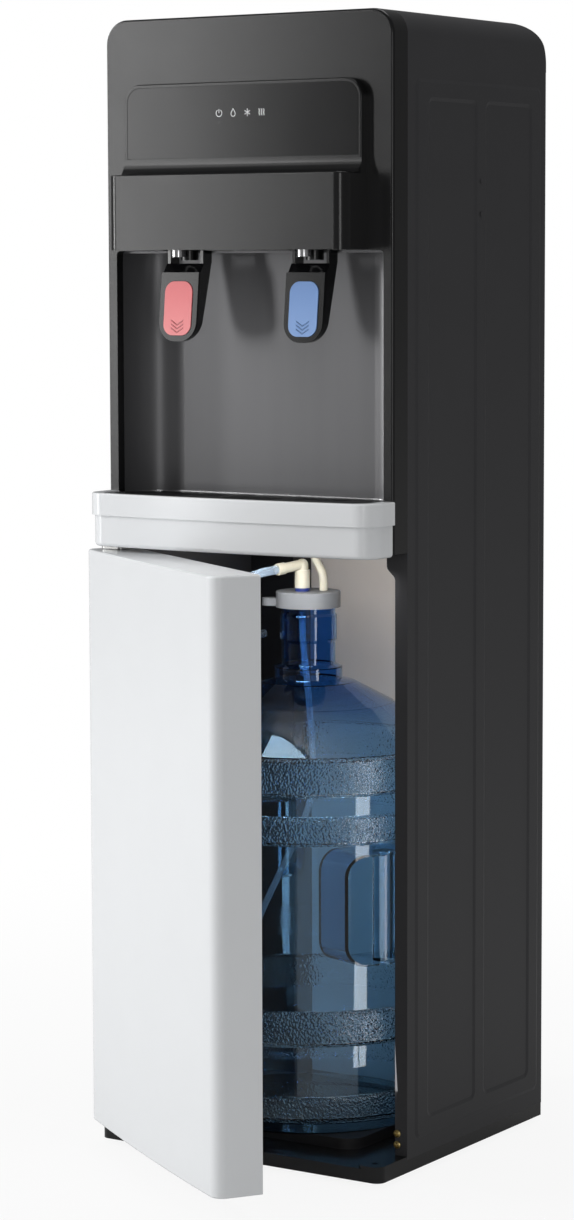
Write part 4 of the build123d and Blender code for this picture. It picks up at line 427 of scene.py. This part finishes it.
def pad_finish(name, middle, top, low):
    made = Finish(name)
    z = made.axis("Z")
    aside = (made.axis("X") - middle).size()
    # The top colour is the darker one, so the pad turns a little darker towards the top.
    body_colour = made.blend(z.rise(PAD_LOW, PAD_HIGH), low, top)
    line = z - aside * CHEVRON_SLOPE
    inside = 1 - aside.rise(*CHEVRON_ENDS)
    ridges = sum((line.band(foot, foot + CHEVRON_WIDTH, CHEVRON_EDGE) for foot in CHEVRON_FEET),
                 0.0) * inside
    made.set("Roughness", PAD_ROUGHNESS - ridges * CHEVRON_POLISH)
    # Painted shade: the chevron ridges are coloured darker than the rest of the pad.
    made.set("Base Color", made.blend(ridges * CHEVRON_PAINTED_SHADE, body_colour,
                                      times(low, CHEVRON_SHADE)))
    made.bump(ridges + made.noise(1300.0, GRAIN_DETAIL) * PAD_GRAIN, PAD_RELIEF)
    return made


pad_red = pad_finish("pad_red", -0.068, shade(226, 112, 116), shade(232, 132, 134))
pad_blue = pad_finish("pad_blue", 0.068, shade(98, 138, 196), shade(116, 152, 206))

TRACKS_PER_METRE = 260.0
board = Finish("circuit_board", Roughness=0.35)
tracks = board.node("ShaderNodeTexBrick", None, {"Vector": board.place, "Scale": TRACKS_PER_METRE,
                                                 "Color1": shade(18, 84, 46),
                                                 "Color2": shade(22, 96, 52),
                                                 "Mortar": shade(120, 130, 70)})
board.set("Base Color", tracks)
print("pads", pad_red.material.name, pad_blue.material.name)

# %% [markdown]
# Every solid now gets one finish. The table below reads like a parts list: a finish, then the
# solids that are made of it.

# %% Dress the solids
dressed = {
    charcoal_steel: "right_side_panel left_side_panel panel_rivets top_cover",
    charcoal_moulding: "front_bezel base_plinth spout_housing hot_faucet cold_faucet",
    charcoal_smooth: "control_panel hot_paddle_cover cold_paddle_cover",
    white_gloss: "drip_tray_housing door_shell",
    niche_silver: "niche_liner",
    door_inner: "door_liner",
    bay_beige: "bay_rear_panel compartment_shelf",
    rear_grey: "rear_cover tank_shelf",
    black_matt: "bottle_stand drip_basin drip_grille hose_duct water_pump condenser_brackets"
                " switch_frames power_inlet drain_plug",
    black_gloss: "hot_paddle_arm cold_paddle_arm",
    black_enamel: "compressor condenser_tube condenser_wires",
    rubber: "levelling_feet door_magnet",
    cap_grey: "bottle_cap",
    cream: "elbow_fitting vent_hose hinge_washer",
    collet_blue: "fitting_collet",
    lens_dark: "indicator_lenses",
    key_red: "hot_switch",
    key_green: "cold_switch",
    nozzle_steel: "nozzle_sleeves paddle_pins",
    trim_steel: "grille_trim",
    zinc: "faucet_screws paddle_springs hinge_pins hinge_bracket",
    stainless: "cold_tank hot_tank",
    brass: "flange_screws",
    bottle_blue: "bottle",
    hose_clear: "suction_hose probe_tube",
    pad_red: "hot_pad",
    pad_blue: "cold_pad",
    board: "control_board",
}
bare = set(nodes)
for finish, names in dressed.items():
    for name in names.split():
        solid = nodes[name]
        solid.data.materials.clear()
        solid.data.materials.append(finish.material)
        bare.discard(name)
print("solids without a finish:", sorted(bare) or "none")

# %% [markdown]
# Screws repeat, so one pan head is made once and a Geometry Nodes tree sets a copy on every
# point of a small cloud. The cross recess is pushed down from the dome's own faces: a point that
# lies inside the cross sinks, which leaves clean steps without a boolean.

# %% One pan head
RINGS, SPOKES = 9, 48
DOME_DROP = 0.45                # how far the rim lies under the crown, as a share of the rise
CROSS_HALF, CROSS_REACH = 0.2, 0.58         # as shares of the radius
CROSS_TAPER, CROSS_SINK, CROSS_SLOPE = 1.15, 0.75, 0.35
SKIRT = 0.0002                  # metres that the rim goes down into what it sits on


def pan_head(name, radius, rise):
    """Domed head with a cross recess, standing on z = 0."""
    mesh = bpy.data.meshes.new(name)
    form = bmesh.new()
    rows = []
    for ring in range(RINGS + 1):
        share = ring / RINGS
        row = []
        for spoke in range(SPOKES):
            angle = 2 * math.pi * spoke / SPOKES
            x, y = share * math.cos(angle), share * math.sin(angle)
            z = rise * (1 - DOME_DROP * share ** 3)
            in_arm = min(abs(x), abs(y)) < CROSS_HALF * (CROSS_TAPER - share)
            if in_arm and share < CROSS_REACH:
                z -= rise * CROSS_SINK * (1 - share / CROSS_REACH * CROSS_SLOPE)
            row.append(form.verts.new((x * radius, y * radius, z)))
        rows.append(row)
    rows.append([form.verts.new((v.co.x, v.co.y, -SKIRT)) for v in rows[-1]])
    for inner, outer in zip(rows, rows[1:]):
        for spoke in range(SPOKES):
            after = (spoke + 1) % SPOKES
            form.faces.new((inner[spoke], outer[spoke], outer[after], inner[after]))
    form.faces.new(rows[-1][::-1])
    bmesh.ops.remove_doubles(form, verts=form.verts, dist=1e-7)
    bmesh.ops.recalc_face_normals(form, faces=form.faces)
    form.to_mesh(mesh)
    form.free()
    return bpy.data.objects.new(name, mesh)


big_head = pan_head("flange_head", 0.0035, 0.0020)
small_head = pan_head("cover_head", 0.0036, 0.0018)
print("pan heads:", big_head.name, small_head.name, len(small_head.data.polygons), "faces each")

# %% [markdown]
# The tree has three inputs: the points, a size, and the way that the heads face. It ends in real
# geometry with its material, and `settled` turns that into a plain mesh, because the exported
# model keeps neither instances nor modifiers.

# %% Copies on points
def repeat_tree(name, shape, finish):
    """Geometry Nodes tree that sets a shape on each point and turns it to face one way."""
    tree = bpy.data.node_groups.new(name, "GeometryNodeTree")
    for label, kind, way in (("Points", "NodeSocketGeometry", "INPUT"),
                             ("Size", "NodeSocketFloat", "INPUT"),
                             ("Facing", "NodeSocketVector", "INPUT"),
                             ("Copies", "NodeSocketGeometry", "OUTPUT")):
        tree.interface.new_socket(label, in_out=way, socket_type=kind)
    start, end = tree.nodes.new("NodeGroupInput"), tree.nodes.new("NodeGroupOutput")
    source = tree.nodes.new("GeometryNodeObjectInfo")
    source.inputs["Object"].default_value = shape
    align = tree.nodes.new("FunctionNodeAlignRotationToVector")
    align.axis = "Z"
    copies = tree.nodes.new("GeometryNodeInstanceOnPoints")
    real = tree.nodes.new("GeometryNodeRealizeInstances")
    coat = tree.nodes.new("GeometryNodeSetMaterial")
    coat.inputs["Material"].default_value = finish.material
    for out, into in ((start.outputs["Points"], copies.inputs["Points"]),
                      (source.outputs["Geometry"], copies.inputs["Instance"]),
                      (start.outputs["Facing"], align.inputs["Vector"]),
                      (align.outputs["Rotation"], copies.inputs["Rotation"]),
                      (start.outputs["Size"], copies.inputs["Scale"]),
                      (copies.outputs["Instances"], real.inputs["Geometry"]),
                      (real.outputs["Geometry"], coat.inputs["Geometry"]),
                      (coat.outputs["Geometry"], end.inputs["Copies"])):
        tree.links.new(out, into)
    return tree


def settled(name, carrier):
    """The carrier's modifiers made real, as a plain mesh under a new name."""
    bpy.context.view_layer.update()
    mesh = bpy.data.meshes.new_from_object(
        carrier.evaluated_get(bpy.context.evaluated_depsgraph_get()))
    mesh.name = name
    made = bpy.data.objects.new(name, mesh)
    bpy.context.scene.collection.objects.link(made)
    bpy.data.objects.remove(carrier)
    return made


def set_on_points(name, shape, finish, places, facing, body):
    """One piece made of a copy of the shape at each place."""
    cloud = bpy.data.meshes.new(name + "_points")
    cloud.from_pydata(places, [], [])
    carrier = bpy.data.objects.new(name + "_points", cloud)
    bpy.context.scene.collection.objects.link(carrier)
    tree = repeat_tree(name + "_tree", shape, finish)
    modifier = carrier.modifiers.new("copies", "NODES")
    modifier.node_group = tree
    named = {item.name: item.identifier for item in tree.interface.items_tree}
    modifier[named["Size"]] = 1.0
    modifier[named["Facing"]] = facing
    made = settled(name, carrier)
    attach(made, body)
    print(name, len(places), "copies,", len(made.data.polygons), "faces")
    return made


print("helpers: repeat_tree, settled, set_on_points")

# %% [markdown]
# Two brass-coloured screws hold the bay's flange beside the bottle's foot, and they stand for the
# two plain solids there. The rear cover has a column of screws down each side and three short
# rows between them.

# %% Screws of the flange and the back
FRONTWARDS, BACKWARDS = (0, -1, 0), (0, 1, 0)
HEAD_INSET = 0.0035             # from the end of the two solids' box to a screw's middle
lowest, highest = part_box("flange_screws")
flange_x = (lowest[0] + highest[0]) / 2
flange_heads = set_on_points(
    "flange_heads", big_head, brass,
    [(flange_x, highest[1], z) for z in (lowest[2] + HEAD_INSET, highest[2] - HEAD_INSET)],
    FRONTWARDS, "cabinet")
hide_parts("flange_screws")

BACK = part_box("rear_cover")[1][1]
COLUMN_X = 0.1485
COLUMN_HEIGHTS = (0.034, 0.190, 0.350, 0.510, 0.670, 0.830, 0.990)
ROW_HEIGHTS, ROW_PLACES = (0.034, 0.560, 0.780), (-0.075, 0.0, 0.075)
columns = [(side * COLUMN_X, BACK, z) for side in (-1, 1) for z in COLUMN_HEIGHTS]
cross_rows = [(x, BACK, z) for z in ROW_HEIGHTS for x in ROW_PLACES]
set_on_points("cover_heads", small_head, zinc, columns + cross_rows,
              BACKWARDS, "cabinet")

# %% [markdown]
# Four signs sit over the indicator lamps: a ring and bar for power, a drop for an empty bottle,
# a snow star for cooling and three rising waves for heat. They are pad-printed, so each is a thin
# ribbon that stands a tenth of a millimetre off the panel.

# %% Signs over the lamps
def ribbon(form, points, width, y):
    """Flat stroke along points given as (x, z)."""
    sides = []
    for index, point in enumerate(points):
        before = Vector(points[max(index - 1, 0)])
        after = Vector(points[min(index + 1, len(points) - 1)])
        way = (after - before).normalized() * width / 2
        here = Vector(point)
        sides.append((form.verts.new((here.x - way.y, y, here.y + way.x)),
                      form.verts.new((here.x + way.y, y, here.y - way.x))))
    for (a, b), (c, d) in zip(sides, sides[1:]):
        form.faces.new((a, b, d, c))


def arc(x, z, radius, first, last, steps):
    """Points round a middle, from the first to the last angle in degrees."""
    return [(x + radius * math.cos(math.radians(first + (last - first) * i / steps)),
             z + radius * math.sin(math.radians(first + (last - first) * i / steps)))
            for i in range(steps + 1)]


def solid_sheet(name, form, thickness, finish, body):
    """A flat drawing given a little body, facing the front."""
    mesh = bpy.data.meshes.new(name)
    bmesh.ops.recalc_face_normals(form, faces=form.faces)
    for face in form.faces:
        if face.normal.y > 0:
            face.normal_flip()
    grown = bmesh.ops.extrude_face_region(form, geom=list(form.faces))["geom"]
    for vertex in (item for item in grown if isinstance(item, bmesh.types.BMVert)):
        vertex.co.y -= thickness
    bmesh.ops.recalc_face_normals(form, faces=form.faces)
    form.to_mesh(mesh)
    form.free()
    piece = bpy.data.objects.new(name, mesh)
    bpy.context.scene.collection.objects.link(piece)
    piece.data.materials.append(finish.material)
    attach(piece, body)
    print(name, len(mesh.polygons), "faces")


print("helpers: ribbon, arc, solid_sheet")

# %% Where the signs stand
LENSES, LENS_HALF = 4, 0.0015   # half a lens's width, in metres
SIGN_RISE = 0.0098              # from the lenses' lowest point to a sign's middle
PRINT_GAP = 0.00002
lowest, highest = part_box("indicator_lenses")
lens_step = (highest[0] - lowest[0] - 2 * LENS_HALF) / (LENSES - 1)
power_x, drop_x, star_x, waves_x = (lowest[0] + LENS_HALF + lens_step * i for i in range(LENSES))
sign_z = lowest[2] + SIGN_RISE
panel_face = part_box("control_panel")[0][1] - PRINT_GAP
print("signs", round(lens_step * 1000, 1), "mm apart")

# %% Draw the four signs
STROKE, INK_THICKNESS = 0.0006, 0.0001
POWER_RING, POWER_BAR = 0.0031, 0.0036
DROP_TIP, DROP_DIP, DROP_ROUND = 0.0038, 0.0009, 0.0023
STAR_ARM = 0.0034
WAVE_GAP, WAVE_SWING, WAVE_TURN = 0.0024, 0.0005, 0.7
WAVE_FOOT, WAVE_STEP, WAVE_POINTS = 0.003, 0.00038, 17
print_grey = grained("print_grey", shade(240, 241, 243), 0.5, 900.0, 0.00001)
signs = bmesh.new()


def stroke(points):
    ribbon(signs, points, STROKE, panel_face)


stroke(arc(power_x, sign_z, POWER_RING, 120, 420, 30))
stroke([(power_x, sign_z), (power_x, sign_z + POWER_BAR)])
tip = (drop_x, sign_z + DROP_TIP)
stroke([tip] + arc(drop_x, sign_z - DROP_DIP, DROP_ROUND, 150, 390, 24) + [tip])
for angle in (30, 90, 150):
    dx, dz = STAR_ARM * math.cos(math.radians(angle)), STAR_ARM * math.sin(math.radians(angle))
    stroke([(star_x - dx, sign_z - dz), (star_x + dx, sign_z + dz)])
for shift in (-WAVE_GAP, 0.0, WAVE_GAP):
    stroke([(waves_x + shift + WAVE_SWING * math.sin(i * WAVE_TURN),
             sign_z - WAVE_FOOT + i * WAVE_STEP) for i in range(WAVE_POINTS)])
solid_sheet("lamp_signs", signs, INK_THICKNESS, print_grey, "cabinet")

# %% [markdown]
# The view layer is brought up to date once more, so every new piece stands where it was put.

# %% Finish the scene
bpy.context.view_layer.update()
